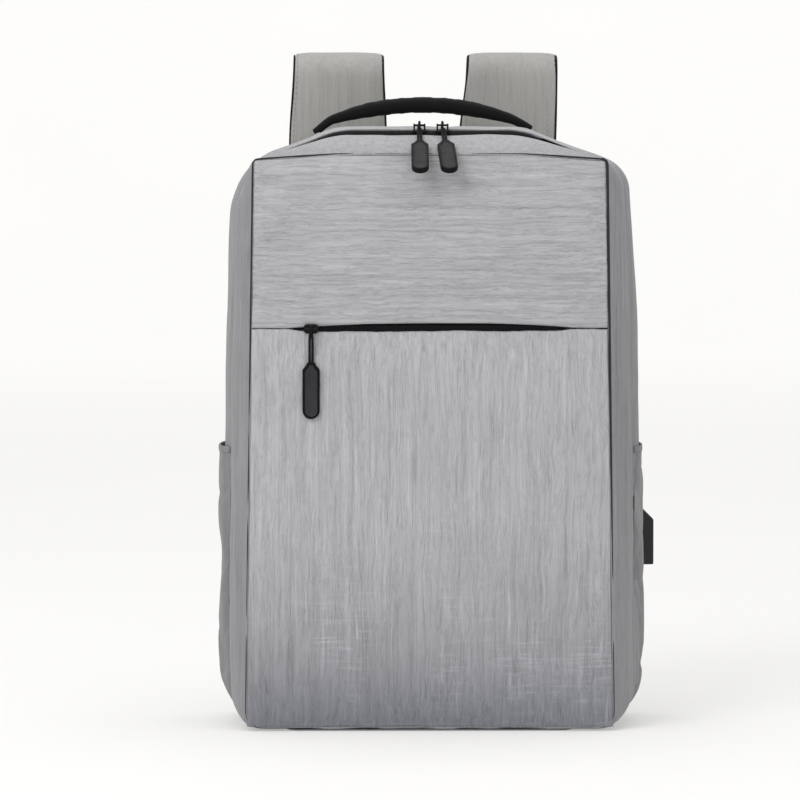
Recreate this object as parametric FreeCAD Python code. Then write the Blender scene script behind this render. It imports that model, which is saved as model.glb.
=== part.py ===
"""Two-shell laptop backpack. Millimetres; X to the right, -Y to the front, +Z up, origin on the base."""
import FreeCAD
import Part
import math
import os
from collections import namedtuple

V = FreeCAD.Vector

# Outline of the bag at each depth, from the front face to the back.
Station = namedtuple("Station", "y base_half top_half base_z crown_z drop base_radius top_radius")
FRONT_FACE = Station(-65.0, 127.0, 121.0, 3.5, 399.5, 4.0, 9.0, 9.0)
FRONT_BULGE = Station(-46.0, 136.5, 132.0, 3.5, 410.6, 17.0, 26.0, 30.0)
FRONT_EDGE = Station(-40.0, 134.0, 130.0, 3.5, 413.0, 21.0, 32.0, 32.0)
REAR_EDGE = Station(-34.0, 134.0, 130.0, 2.5, 413.0, 21.0, 32.0, 32.0)
REAR_MIDDLE = Station(-5.0, 138.5, 137.5, 2.5, 416.5, 26.0, 38.0, 34.0)
REAR_BACK = Station(56.0, 136.0, 133.0, 2.5, 412.0, 27.0, 36.0, 34.0)
FRONT_STATIONS = [FRONT_FACE, FRONT_BULGE, FRONT_EDGE]
REAR_STATIONS = [REAR_EDGE, REAR_MIDDLE, REAR_BACK]
CROWN_HALF = 64.0
CROWN_BEND = 60.0
WALL = 3.0

# Front pocket zip.
SEAM_Z = 279.0
SLIT_LEFT = -96.0
SLIT_RIGHT = 97.0
SLIT_HALF = 2.5
FRONT_SLIDER_X = -82.0

# Main zip.
ZIP_Y = -37.0
COIL_WIDTH = 1.6
COIL_GAP_HALF = 0.6
COIL_PROUD = 0.4
TAPE_INSET = 0.8
TAPE_THICK = 0.8
ZIP_END_Z = 20.0
LEFT_SLIDER_X = -7.0
RIGHT_SLIDER_X = 9.0

# Sliders and pulls.
SLIDER_LENGTH = 10.0
SLIDER_HALF_WIDTH = 3.2
SLIDER_CLEARANCE = 0.6
SLIDER_PLATE = 1.3
BAR_HEIGHT = 3.6
BAR_RADIUS = 0.75
CORD_DIAMETER = 1.8
NECK_LENGTH = 23.0
GRIP_LENGTH = 39.0
GRIP_WIDTH = 12.0
GRIP_THICK = 4.0
MAIN_PULL_SLOPE = 30.0
RIGHT_PULL_TILT = 4.0

# Side pockets and charging port.
POCKET_HALF = 146.5
POCKET_WALL = 1.5
POCKET_TOP_Z = 198.0
POCKET_BASE_Z = 8.0
POCKET_HALF_DEPTH = 28.0
PORT_Y = 42.0
PORT_BASE_Z = 107.0
PORT_OUTER_X = 160.0
PORT_FACE_X = 137.4
PORT_WIDTH = 18.0
SOCKET_X = 152.5
SOCKET_WIDTH = 12.6
SOCKET_HEIGHT = 5.1
SOCKET_DEPTH = 16.0
LEAD_DIAMETER = 3.5
LEAD_ROUTE = [(126.5, 42.0, 140.0), (126.5, 42.0, 182.0), (100.0, 20.0, 182.0), (100.0, 20.0, 136.0)]

# Handle.
HANDLE_X = -4.0
HANDLE_Y = 18.0
HANDLE_HALF_SPAN = 77.0
HANDLE_TOP_Z = 438.0
HANDLE_UNDER_Z = 427.0
HANDLE_END_Z = 417.5
HANDLE_TAB_THICK = 1.6
HANDLE_HALF_WIDTH = 10.0
HANDLE_CORE_HALF = 7.0

# Shoulder straps.
STRAP_X = 60.0
STRAP_SHIFT = -3.7
STRAP_HALF = 34.0
BINDING = 3.0
PAD_THICK = 7.0
MESH_THICK = 2.0
STRAP_FRONT_Y = 59.0
STRAP_ROOT_Z = 400.0
STRAP_TOP_Z = 470.0
STRAP_LOOP_RADIUS = 11.5
STRAP_END_Z = 150.0
STRAP_END_Y = 80.0
WEBBING_WIDTH = 25.0
WEBBING_THICK = 1.5
ADJUSTER_BAR_Z = 141.0
ADJUSTER_HALF_WIDTH = 17.0
ADJUSTER_LENGTH = 38.0

PARTS = {}


def keep(name, *solids):
    """Store one node, as one solid or as a group of separate solids."""
    PARTS[name] = solids[0] if len(solids) == 1 else Part.makeCompound(list(solids))


def block(x0, x1, y0, y1, z0, z1):
    """Box between two corners."""
    return Part.makeBox(x1 - x0, y1 - y0, z1 - z0, V(x0, y0, z0))


def rounded_block(x0, x1, y0, y1, z0, z1, radius):
    """Box with every edge rounded."""
    solid = block(x0, x1, y0, y1, z0, z1)
    return solid.makeFillet(radius, solid.Edges)


def corner_arc(before, here, after, radius):
    """Start, middle and end of the tangent arc that rounds one corner."""
    towards_before = (before - here).normalize()
    towards_after = (after - here).normalize()
    half_turn = (math.pi - towards_before.getAngle(towards_after)) / 2.0
    bisector = (towards_before + towards_after).normalize()
    setback = radius * math.tan(half_turn)
    middle = here + bisector * (radius / math.cos(half_turn) - radius)
    return here + towards_before * setback, middle, here + towards_after * setback


def rounded_outline(corners, place):
    """Closed wire through (a, b, radius) corners; place turns a and b into a point in space."""
    points = [place(a, b) for a, b, _ in corners]
    arcs = []
    for index, (_, _, radius) in enumerate(corners):
        after = points[(index + 1) % len(points)]
        arcs.append(corner_arc(points[index - 1], points[index], after, radius))
    edges = []
    for index, (start, middle, end) in enumerate(arcs):
        edges.append(Part.Arc(start, middle, end).toShape())
        next_start = arcs[(index + 1) % len(arcs)][0]
        edges.append(Part.LineSegment(end, next_start).toShape())
    return Part.Wire(edges)


def prism(wire, direction):
    """Solid swept from a flat closed wire along a straight vector."""
    return Part.Face(wire).extrude(direction)


def tube_path(points):
    """Straight runs joined by tangent arcs, each as large as its two runs allow."""
    points = [V(*point) for point in points]
    edges = []
    radii = []
    last = points[0]
    for before, here, after in zip(points, points[1:], points[2:]):
        shorter = min((here - before).Length, (after - here).Length)
        turn = (here - before).getAngle(after - here)
        radius = 0.45 * shorter / math.tan(turn / 2.0)
        start, middle, end = corner_arc(before, here, after, radius)
        edges.append(Part.LineSegment(last, start).toShape())
        edges.append(Part.Arc(start, middle, end).toShape())
        radii.append(radius)
        last = end
    edges.append(Part.LineSegment(last, points[-1]).toShape())
    return Part.Wire(edges), radii


def tube(name, points, diameter):
    """Round tube along a route, with its bend radii and volume printed for checking."""
    path, radii = tube_path(points)
    start = V(*points[0])
    direction = V(*points[1]) - start
    circle = Part.Wire(Part.makeCircle(diameter / 2.0, start, direction))
    solid = path.makePipeShell([circle], True, False)
    expected = math.pi * diameter ** 2 / 4.0 * path.Length
    bends = ", ".join("%.1f" % radius for radius in radii)
    print("%s length %.1f volume ratio %.3f radii %s" % (name, path.Length, solid.Volume / expected, bends))
    return solid


def station_at(stations, y):
    """Outline sizes at any depth, in between two stations."""
    for first, second in zip(stations, stations[1:]):
        if first.y <= y <= second.y:
            share = (y - first.y) / (second.y - first.y)
            return Station(*[a + (b - a) * share for a, b in zip(first, second)])
    raise ValueError("no station at this depth")


def body_outline(station, y, inset=0.0):
    """Closed outline of the bag in the plane y, moved inwards by the inset."""
    base = station.base_half - inset
    top = station.top_half - inset
    floor = station.base_z + inset
    crown = station.crown_z - inset
    base_radius = max(station.base_radius - inset, 2.0)
    top_radius = max(station.top_radius - inset, 2.0)
    corners = [
        (-base, floor, base_radius),
        (base, floor, base_radius),
        (top, crown - station.drop, top_radius),
        (CROWN_HALF, crown, CROWN_BEND),
        (-CROWN_HALF, crown, CROWN_BEND),
        (-top, crown - station.drop, top_radius),
    ]
    return rounded_outline(corners, lambda x, z: V(x, y, z))


def shell_block(stations, inset):
    """Filled block through several outlines."""
    wires = [body_outline(station, station.y, inset) for station in stations]
    return Part.makeLoft(wires, True, True)


def plate(stations, y0, y1, inset):
    """Flat plate that fills the outline at one depth."""
    narrow = min((station_at(stations, y) for y in (y0, y1)), key=lambda station: station.top_half)
    return prism(body_outline(narrow, y0, inset), V(0, y1 - y0, 0))


def edge_ring(station, y0, y1, outer_inset, inner_inset):
    """Narrow band that follows the outline up one side, over the top and down the other."""
    outer = prism(body_outline(station, y0, outer_inset), V(0, y1 - y0, 0))
    inner = prism(body_outline(station, y0, inner_inset), V(0, y1 - y0, 0))
    above = block(-200, 200, y0 - 1, y1 + 1, ZIP_END_Z, 500)
    return outer.cut(inner).common(above)


def make_front_shell():
    """Front gusset, front panels, lining and the pocket behind them."""
    gusset = shell_block(FRONT_STATIONS, 0.0).cut(shell_block(FRONT_STATIONS, WALL))
    keep("front_gusset", gusset)
    face = plate(FRONT_STATIONS, FRONT_FACE.y, FRONT_FACE.y + WALL, WALL + 0.1)
    slit = block(SLIT_LEFT, SLIT_RIGHT, FRONT_FACE.y - 1, FRONT_FACE.y + WALL + 1,
                 SEAM_Z - SLIT_HALF, SEAM_Z + SLIT_HALF)
    panel = face.cut(slit)
    keep("front_upper_panel", panel.common(block(-200, 200, -80, -40, SEAM_Z, 500)))
    keep("front_lower_panel", panel.common(block(-200, 200, -80, -40, 0, SEAM_Z)))
    keep("front_lining", plate(FRONT_STATIONS, -52.0, -50.0, WALL + 0.5))
    outer = block(-85, 85, -50.0, -42.0, 120, 262)
    inner = block(-83.8, 83.8, -50.0, -43.2, 121.2, 262)
    keep("organiser_pocket", outer.cut(inner))


def make_front_zip():
    """Tape and coil behind the slit in the front face."""
    back = FRONT_FACE.y + WALL
    keep("front_zip_tape", block(SLIT_LEFT - 6, SLIT_RIGHT + 6, back, back + TAPE_THICK,
                                 SEAM_Z - 11, SEAM_Z + 11))
    coil = block(SLIT_LEFT + 3, SLIT_RIGHT - 3, back - 1.6, back, SEAM_Z - 1.5, SEAM_Z + 1.5)
    stops = []
    for x in (SLIT_LEFT + 0.5, SLIT_RIGHT - 3.0):
        stops.append(block(x, x + 2.5, back - 1.9, back, SEAM_Z - 2, SEAM_Z + 2))
    keep("front_zip_coil", coil, *stops)


def make_main_zip():
    """Tapes and coils on both sides of the main opening."""
    front_coil = (ZIP_Y - COIL_GAP_HALF - COIL_WIDTH, ZIP_Y - COIL_GAP_HALF)
    rear_coil = (ZIP_Y + COIL_GAP_HALF, ZIP_Y + COIL_GAP_HALF + COIL_WIDTH)
    tape_inner = TAPE_INSET + TAPE_THICK
    keep("main_zip_front_tape", edge_ring(FRONT_EDGE, FRONT_EDGE.y, front_coil[1] - 0.2,
                                          TAPE_INSET, tape_inner))
    keep("main_zip_rear_tape", edge_ring(FRONT_EDGE, rear_coil[0] + 0.2, REAR_EDGE.y,
                                         TAPE_INSET, tape_inner))
    keep("main_zip_front_coil", edge_ring(FRONT_EDGE, *front_coil, -COIL_PROUD, TAPE_INSET))
    keep("main_zip_rear_coil", edge_ring(FRONT_EDGE, *rear_coil, -COIL_PROUD, TAPE_INSET))


def slider_solid(neck_half, neck_depth):
    """Slider lying on the XY plane: plate, guide under it and a round bridge bar above it."""
    half = SLIDER_LENGTH / 2.0
    corners = [
        (-half, -SLIDER_HALF_WIDTH, 2.2),
        (half, -SLIDER_HALF_WIDTH, 2.2),
        (half, SLIDER_HALF_WIDTH, 2.2),
        (-half, SLIDER_HALF_WIDTH, 2.2),
    ]
    body = prism(rounded_outline(corners, lambda x, y: V(x, y, 0)), V(0, 0, SLIDER_PLATE))
    rim = [edge for edge in body.Edges if edge.BoundBox.ZMin > SLIDER_PLATE - 0.01]
    body = body.makeFillet(0.4, rim)
    body = body.fuse(block(-half + 1, half - 1, -neck_half, neck_half, -neck_depth, 0.2))
    bar_z = SLIDER_PLATE + BAR_HEIGHT
    body = body.fuse(Part.makeCylinder(BAR_RADIUS, 8.4, V(-4.2, 0, bar_z), V(1, 0, 0)))
    for x in (-4.2, 3.0):
        post = block(x, x + 1.2, -1.1, 1.1, SLIDER_PLATE - 0.2, bar_z)
        cap = Part.makeCylinder(1.1, 1.2, V(x, 0, bar_z), V(1, 0, 0))
        body = body.fuse(post).fuse(cap)
    return body.removeSplitter()


def pull_cord_route():
    """Cord loop: out of the grip, round the bar at the origin and back into the grip."""
    side = [
        (1.0, 0.0, -NECK_LENGTH),
        (1.0, 0.1, -14.2),
        (1.0, 0.1, -5.0),
        (0.0, 2.0, -1.0),
        (0.0, 2.0, 1.9),
    ]
    return side + [(-x, -y, z) for x, y, z in reversed(side)]


def grip_outline(width, top, bottom, shoulder, neck, y):
    """Long rounded tab with a narrow shouldered top."""
    half = width / 2.0
    corners = [
        (-neck, top, 0.8),
        (neck, top, 0.8),
        (neck + 0.2, top - shoulder * 0.4, 1.2),
        (half, top - shoulder, 2.5),
        (half, bottom, half - 0.1),
        (-half, bottom, half - 0.1),
        (-half, top - shoulder, 2.5),
        (-neck - 0.2, top - shoulder * 0.4, 1.2),
    ]
    return rounded_outline(corners, lambda x, z: V(x, y, z))


def grip_solid():
    """Moulded grip, hanging down from the end of the cord neck."""
    half = GRIP_THICK / 2.0
    top = -NECK_LENGTH
    bottom = top - GRIP_LENGTH
    solid = prism(grip_outline(GRIP_WIDTH, top, bottom, 6.0, 3.2, -half), V(0, GRIP_THICK, 0))
    rims = []
    for edge in solid.Edges:
        if abs(edge.BoundBox.YMin) > half - 0.01 and edge.BoundBox.YLength < 0.01:
            rims.append(edge)
    solid = solid.makeFillet(0.7, rims)
    for y, depth in ((-half, 0.5), (half, -0.5)):
        corners = [
            (-3.9, top - 8.0, 2.0),
            (3.9, top - 8.0, 2.0),
            (3.9, bottom + 2.1, 3.8),
            (-3.9, bottom + 2.1, 3.8),
        ]
        wire = rounded_outline(corners, lambda x, z: V(x, y, z))
        solid = solid.cut(prism(wire, V(0, depth, 0)))
    return solid


def make_pull(name, bar, slope, tilt):
    """Cord loop and grip, hung from a slider's bridge bar."""
    hang = FreeCAD.Rotation(V(1, 0, 0), -(90.0 - slope))
    swing = FreeCAD.Rotation(V(0, 1, 0), -tilt)
    place = FreeCAD.Placement(bar, hang.multiply(swing))
    cord = tube("pull_cord_" + name, pull_cord_route(), CORD_DIAMETER)
    cord.Placement = place
    grip = grip_solid()
    grip.Placement = place
    keep("pull_cord_" + name, cord)
    keep("pull_grip_" + name, grip)
    route = [place.multVec(V(*point)) for point in pull_cord_route()]
    print(name, "route", [tuple(round(value, 2) for value in point) for point in route])


def make_sliders_and_pulls():
    """Two sliders on the main zip and one on the front pocket."""
    plate_z = FRONT_EDGE.crown_z + COIL_PROUD + SLIDER_CLEARANCE
    for name, x, tilt in (("main_left", LEFT_SLIDER_X, 0.0), ("main_right", RIGHT_SLIDER_X, RIGHT_PULL_TILT)):
        slider = slider_solid(COIL_GAP_HALF - 0.2, 2.4)
        slider.translate(V(x, ZIP_Y, plate_z))
        keep("slider_" + name, slider)
        bar = V(x, ZIP_Y, plate_z + SLIDER_PLATE + BAR_HEIGHT)
        make_pull(name, bar, MAIN_PULL_SLOPE, tilt)
    plate_y = FRONT_FACE.y - 0.4
    slider = slider_solid(1.2, 1.5)
    slider.rotate(V(0, 0, 0), V(1, 0, 0), 90)
    slider.translate(V(FRONT_SLIDER_X, plate_y, SEAM_Z))
    keep("slider_front", slider)
    bar = V(FRONT_SLIDER_X, plate_y - SLIDER_PLATE - BAR_HEIGHT, SEAM_Z)
    make_pull("front", bar, 90.0, 0.0)


def make_rear_shell(port_cutters):
    """Rear gusset with the back, the base and the laptop sleeve."""
    outer = shell_block(REAR_STATIONS, 0.0)
    gusset = outer.cut(shell_block(REAR_STATIONS, WALL))
    for cutter in port_cutters:
        gusset = gusset.cut(cutter)
    keep("rear_gusset", gusset)
    base = REAR_EDGE.base_z
    corners = [(-98, -62, 14), (98, -62, 14), (98, 53, 14), (-98, 53, 14)]
    keep("base_panel", prism(rounded_outline(corners, lambda x, y: V(x, y, 0)), V(0, 0, base)))
    keep("base_board", block(-94, 94, -31, 49, base + WALL, base + WALL + 1.5))
    keep("back_panel", plate(REAR_STATIONS, 53.0, 56.0, WALL))
    keep("back_board", plate(REAR_STATIONS, 51.0, 53.0, WALL + 4))
    divider = plate(REAR_STATIONS, 28.0, 31.0, WALL + 1)
    divider = divider.common(block(-200, 200, 20, 40, 12, 300))
    lead_notch = block(94, 200, 20, 40, 166, 202)
    keep("laptop_divider", divider.cut(lead_notch))
    pads = []
    for x in (-98.0, 16.0):
        for z0, z1 in ((64.0, 204.0), (216.0, 356.0)):
            pads.append(rounded_block(x, x + 82.0, 56.0, 66.0, z0, z1, 3.5))
    keep("back_pads", *pads)
    return outer


def make_sleeve_strap():
    """Closing strap over the laptop sleeve, with its fixed patch on the divider."""
    over = block(-15, 15, 24.6, 50.4, 306, 307.6)
    flap = block(-15, 15, 24.6, 26.2, 262, 307)
    keep("sleeve_strap", over.fuse(flap).removeSplitter())
    keep("sleeve_patch", block(-15, 15, 26.6, 28.0, 266, 292))


def make_side_pocket(name, side, rear_block):
    """Open-topped pocket on one side, with the gusset as its inner wall."""
    depth = POCKET_HALF_DEPTH
    walls = []
    for inset in (0.0, POCKET_WALL):
        half = POCKET_HALF - inset
        base = POCKET_BASE_Z + inset
        corners = [(-half, base, 40), (half, base, 40), (half, 300, 10), (-half, 300, 10)]
        wire = rounded_outline(corners, lambda x, z: V(x, -depth + inset, z))
        walls.append(prism(wire, V(0, 2 * (depth - inset), 0)))
    low, high = sorted((side * 100.0, side * 200.0))
    pocket = walls[0].cut(walls[1]).cut(rear_block)
    keep(name, pocket.common(block(low, high, -60, 60, 0, POCKET_TOP_Z)))


def make_pocket_hems():
    """Elastic edging along the mouth of each side pocket."""
    hems = []
    for side in (-1, 1):
        low, high = sorted((side * (POCKET_HALF - POCKET_WALL), side * POCKET_HALF))
        hems.append(block(low, high, -POCKET_HALF_DEPTH, POCKET_HALF_DEPTH, POCKET_TOP_Z, POCKET_TOP_Z + 4))
    keep("pocket_hems", *hems)


def port_screws():
    """Four screws that clamp the port through the side wall."""
    screws = []
    for y in (PORT_Y - 8.2, PORT_Y + 8.2):
        for z in (PORT_BASE_Z - 2.5, PORT_BASE_Z + 49.5):
            shank = Part.makeCylinder(1.2, 8.6, V(130.0, y, z), V(1, 0, 0))
            head = Part.makeCylinder(2.4, 1.4, V(128.6, y, z), V(1, 0, 0))
            screws.append(shank.fuse(head).removeSplitter())
    return screws


def make_port(screws):
    """Charging port: housing outside, clamp plate inside and the socket that faces down."""
    low_y = PORT_Y - PORT_WIDTH / 2.0
    profile = [
        (PORT_FACE_X + 0.6, PORT_BASE_Z, 0.6),
        (PORT_OUTER_X, PORT_BASE_Z, 1.2),
        (PORT_OUTER_X, PORT_BASE_Z + 32, 2.0),
        (PORT_OUTER_X - 8, PORT_BASE_Z + 40, 2.0),
        (PORT_FACE_X + 1.5, PORT_BASE_Z + 47, 1.0),
        (PORT_FACE_X + 0.6, PORT_BASE_Z + 45, 0.6),
    ]
    hood = prism(rounded_outline(profile, lambda x, z: V(x, low_y, z)), V(0, PORT_WIDTH, 0))
    sides = [edge for edge in hood.Edges if edge.BoundBox.YLength < 0.01 and edge.BoundBox.XMax > 145]
    hood = hood.makeFillet(1.2, sides)
    corners = [
        (PORT_Y - 11, PORT_BASE_Z - 6, 3),
        (PORT_Y + 11, PORT_BASE_Z - 6, 3),
        (PORT_Y + 11, PORT_BASE_Z + 53, 3),
        (PORT_Y - 11, PORT_BASE_Z + 53, 3),
    ]
    flange = prism(rounded_outline(corners, lambda y, z: V(PORT_FACE_X, y, z)), V(2, 0, 0))
    housing = hood.fuse(flange)
    wall = 0.4
    half_x = SOCKET_HEIGHT / 2.0
    half_y = SOCKET_WIDTH / 2.0
    recess = block(SOCKET_X - half_x - wall, SOCKET_X + half_x + wall, PORT_Y - half_y - wall,
                   PORT_Y + half_y + wall, PORT_BASE_Z - 1, PORT_BASE_Z + SOCKET_DEPTH)
    housing = housing.cut(recess)
    for screw in screws:
        housing = housing.cut(screw)
    keep("port_housing", housing.removeSplitter())
    sleeve = recess.common(block(100, 200, 0, 90, PORT_BASE_Z, 300))
    hollow = block(SOCKET_X - half_x, SOCKET_X + half_x, PORT_Y - half_y, PORT_Y + half_y,
                   PORT_BASE_Z, PORT_BASE_Z + SOCKET_DEPTH - wall)
    keep("usb_socket_shell", sleeve.cut(hollow))
    keep("usb_socket_tongue", block(SOCKET_X + 0.2, SOCKET_X + 2.0, PORT_Y - 5.5, PORT_Y + 5.5,
                                    PORT_BASE_Z + 5.0, PORT_BASE_Z + SOCKET_DEPTH - wall))
    clamp = block(130.0, 132.0, PORT_Y - 10.6, PORT_Y + 10.6, PORT_BASE_Z - 6, PORT_BASE_Z + 53)
    elbow = block(122.0, 131.0, PORT_Y - 5, PORT_Y + 5, PORT_BASE_Z + 16, LEAD_ROUTE[0][2])
    clamp = clamp.fuse(elbow).removeSplitter()
    for screw in screws:
        clamp = clamp.cut(screw)
    keep("port_clamp_plate", clamp)
    keep("port_screws", *screws)


def make_lead():
    """Charging lead inside the bag, its plug, its clips and the battery pocket."""
    lead = tube("usb_lead", LEAD_ROUTE, LEAD_DIAMETER)
    keep("usb_lead", lead)
    x, y, z = LEAD_ROUTE[-1]
    grip = rounded_block(x - 8, x + 8, y - 4, y + 4, z - 18, z, 1.5)
    metal = block(x - 6, x + 6, y - 2.25, y + 2.25, z - 30, z - 18)
    keep("usb_plug", grip.fuse(metal).removeSplitter())
    wall_clip = block(124.0, 132.2, PORT_Y - 3, PORT_Y + 3, 161.0, 165.5)
    divider_clip = block(x - 3, x + 3, y - 2.5, 28.0, 150.0, 155.0)
    keep("lead_clips", wall_clip.cut(lead), divider_clip.cut(lead))
    outer = block(58, 124, 11, 28, 50, 124)
    inner = block(59.2, 122.8, 12.2, 28, 51.2, 124)
    keep("battery_pocket", outer.cut(inner))


def arch_band(top_z, under_z, end_top_z, end_under_z, half_span, under_half_span, half_width):
    """Curved bar between two arcs, level at its crown and thinner at its ends."""
    y0 = HANDLE_Y - half_width
    x = HANDLE_X
    left_out = V(x - half_span, y0, end_top_z)
    right_out = V(x + half_span, y0, end_top_z)
    left_in = V(x - under_half_span, y0, end_under_z)
    right_in = V(x + under_half_span, y0, end_under_z)
    edges = [
        Part.Arc(left_out, V(x, y0, top_z), right_out).toShape(),
        Part.LineSegment(right_out, right_in).toShape(),
        Part.Arc(right_in, V(x, y0, under_z), left_in).toShape(),
        Part.LineSegment(left_in, left_out).toShape(),
    ]
    return prism(Part.Wire(edges), V(0, 2 * half_width, 0))


def make_handle(rear_block):
    """Carrying handle: a webbing core with a padded sleeve, between two sewn ends."""
    end = HANDLE_END_Z
    core = arch_band(HANDLE_TOP_Z - 4, HANDLE_UNDER_Z + 4, end + 3, end, HANDLE_HALF_SPAN,
                     HANDLE_HALF_SPAN - 3, HANDLE_CORE_HALF)
    sleeve = arch_band(HANDLE_TOP_Z, HANDLE_UNDER_Z, end + 3.5, end + 0.5, HANDLE_HALF_SPAN,
                       HANDLE_HALF_SPAN - 9, HANDLE_HALF_WIDTH)
    middle = block(HANDLE_X - 56, HANDLE_X + 56, -50, 90, 400, 500)
    keep("handle_grip", sleeve.common(middle).cut(core))
    keep("handle_core", core)
    raised = rear_block.copy()
    raised.translate(V(0, 0, HANDLE_TAB_THICK))
    ends = []
    for side in (-1, 1):
        low, high = sorted((HANDLE_X + side * 78.5, HANDLE_X + side * 96.0))
        column = block(low, high, HANDLE_Y - HANDLE_CORE_HALF, HANDLE_Y + HANDLE_CORE_HALF, 395, 425)
        ends.append(column.common(raised).cut(rear_block))
    keep("handle_anchors", *ends)


def strap_path():
    """Centre line of a strap: up from the bag, over in a loop and down behind the back."""
    half = (PAD_THICK + MESH_THICK) / 2.0
    front = STRAP_FRONT_Y + half
    rear = front + 2 * STRAP_LOOP_RADIUS
    apex = STRAP_TOP_Z - half
    points = [V(0, front, STRAP_ROOT_Z), V(0, front, apex), V(0, rear, apex),
              V(0, rear, 300.0), V(0, STRAP_END_Y, STRAP_END_Z)]
    radii = [STRAP_LOOP_RADIUS - 0.1, STRAP_LOOP_RADIUS - 0.1, 400.0]
    edges = []
    last = points[0]
    for radius, before, here, after in zip(radii, points, points[1:], points[2:]):
        start, middle, end = corner_arc(before, here, after, radius)
        edges.append(Part.LineSegment(last, start).toShape())
        edges.append(Part.Arc(start, middle, end).toShape())
        last = end
    edges.append(Part.LineSegment(last, points[-1]).toShape())
    return Part.Wire(edges)


def strap_layer(x0, x1, y0, y1):
    """One layer of a strap, swept from its section at the bag."""
    z = STRAP_ROOT_Z
    section = Part.makePolygon([V(x0, y0, z), V(x1, y0, z), V(x1, y1, z), V(x0, y1, z), V(x0, y0, z)])
    path = strap_path()
    path.translate(V((x0 + x1) / 2.0, 0, 0))
    return path.makePipeShell([section], True, False)


def adjuster_solid(x):
    """Ladder-lock adjuster hanging from its top bar."""
    y = STRAP_END_Y
    top = ADJUSTER_BAR_Z + 3.0
    bottom = top - ADJUSTER_LENGTH
    frame = rounded_block(x - ADJUSTER_HALF_WIDTH, x + ADJUSTER_HALF_WIDTH, y - 2.2, y + 2.2, bottom, top, 1.0)
    frame = frame.cut(block(x - 14, x + 14, y - 5, y + 5, bottom + 4, top + 5))
    for z in (ADJUSTER_BAR_Z, ADJUSTER_BAR_Z - 15.0):
        frame = frame.fuse(Part.makeCylinder(1.8, 30.0, V(x - 15, y, z), V(1, 0, 0)))
    return frame.removeSplitter()


def make_strap(name, side):
    """Shoulder strap: padded body, mesh face, edge binding, buckle loop and adjuster."""
    centre = side * STRAP_X + STRAP_SHIFT
    inner = STRAP_HALF - BINDING
    front = STRAP_FRONT_Y
    split = front + PAD_THICK
    back = split + MESH_THICK
    keep("strap_pad_" + name, strap_layer(centre - inner, centre + inner, front, split))
    keep("strap_mesh_" + name, strap_layer(centre - inner, centre + inner, split, back))
    edges = [strap_layer(centre - STRAP_HALF, centre - inner, front, back),
             strap_layer(centre + inner, centre + STRAP_HALF, front, back)]
    keep("strap_binding_" + name, *edges)
    half = WEBBING_WIDTH / 2.0
    y = STRAP_END_Y
    ring = Part.makeCylinder(3.7, WEBBING_WIDTH, V(centre - half, y, ADJUSTER_BAR_Z), V(1, 0, 0))
    tab = block(centre - half, centre + half, y - 1.5, y + 1.5, ADJUSTER_BAR_Z, STRAP_END_Z - 0.4)
    hole = Part.makeCylinder(2.2, WEBBING_WIDTH, V(centre - half, y, ADJUSTER_BAR_Z), V(1, 0, 0))
    keep("buckle_loop_" + name, ring.fuse(tab).cut(hole).removeSplitter())
    keep("adjuster_" + name, adjuster_solid(centre))


def webbing_section(x, y, z):
    """Cross-section of the flat webbing, level with the ground."""
    half = WEBBING_WIDTH / 2.0
    thick = WEBBING_THICK / 2.0
    return Part.makePolygon([V(x - half, y - thick, z), V(x + half, y - thick, z),
                             V(x + half, y + thick, z), V(x - half, y + thick, z),
                             V(x - half, y - thick, z)])


def make_strap_fixings():
    """Yoke that carries the straps, and the webbing and tabs at their lower ends."""
    corners = [(-102, 366, 12), (96, 366, 12), (93, 411.5, 3), (-99, 411.5, 3)]
    wire = rounded_outline(corners, lambda x, z: V(x, REAR_BACK.y, z))
    back = prism(body_outline(REAR_BACK, REAR_BACK.y, 0.5), V(0, 10, 0))
    keep("strap_yoke", prism(wire, V(0, 2.6, 0)).common(back))
    tabs = []
    for name, side in (("left", -1), ("right", 1)):
        upper = webbing_section(side * STRAP_X + STRAP_SHIFT, STRAP_END_Y - 0.4, 104.8)
        middle = webbing_section(side * 100.0, 66.0, 56.0)
        lower = webbing_section(side * 108.0, 59.5, 36.0)
        keep("lower_webbing_" + name, Part.makeLoft([upper, middle, lower], True, True))
        corners = [(side * 92.0, 22.0, 3), (side * 123.0, 34.0, 3), (side * 121.0, 58.0, 3), (side * 94.0, 58.0, 3)]
        wire = rounded_outline(corners, lambda x, z: V(x, REAR_BACK.y, z))
        tabs.append(prism(wire, V(0, 2.6, 0)))
    keep("lower_anchors", *tabs)


def main():
    """Build every node and write one STEP file for each."""
    screws = port_screws()
    make_front_shell()
    make_front_zip()
    make_main_zip()
    make_sliders_and_pulls()
    rear_block = make_rear_shell(screws)
    make_sleeve_strap()
    make_side_pocket("side_pocket_left", -1, rear_block)
    make_side_pocket("side_pocket_right", 1, rear_block)
    make_pocket_hems()
    make_port(screws)
    make_lead()
    make_handle(rear_block)
    make_strap("left", -1)
    make_strap("right", 1)
    make_strap_fixings()
    os.makedirs("parts", exist_ok=True)
    for name, shape in PARTS.items():
        shape.exportStep("parts/%s.step" % name)
        if not shape.isValid():
            print("not valid:", name)
    print(len(PARTS), "nodes")


main()
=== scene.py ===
import math
from collections import namedtuple

import bpy
import numpy as np
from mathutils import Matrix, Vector, noise


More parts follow.
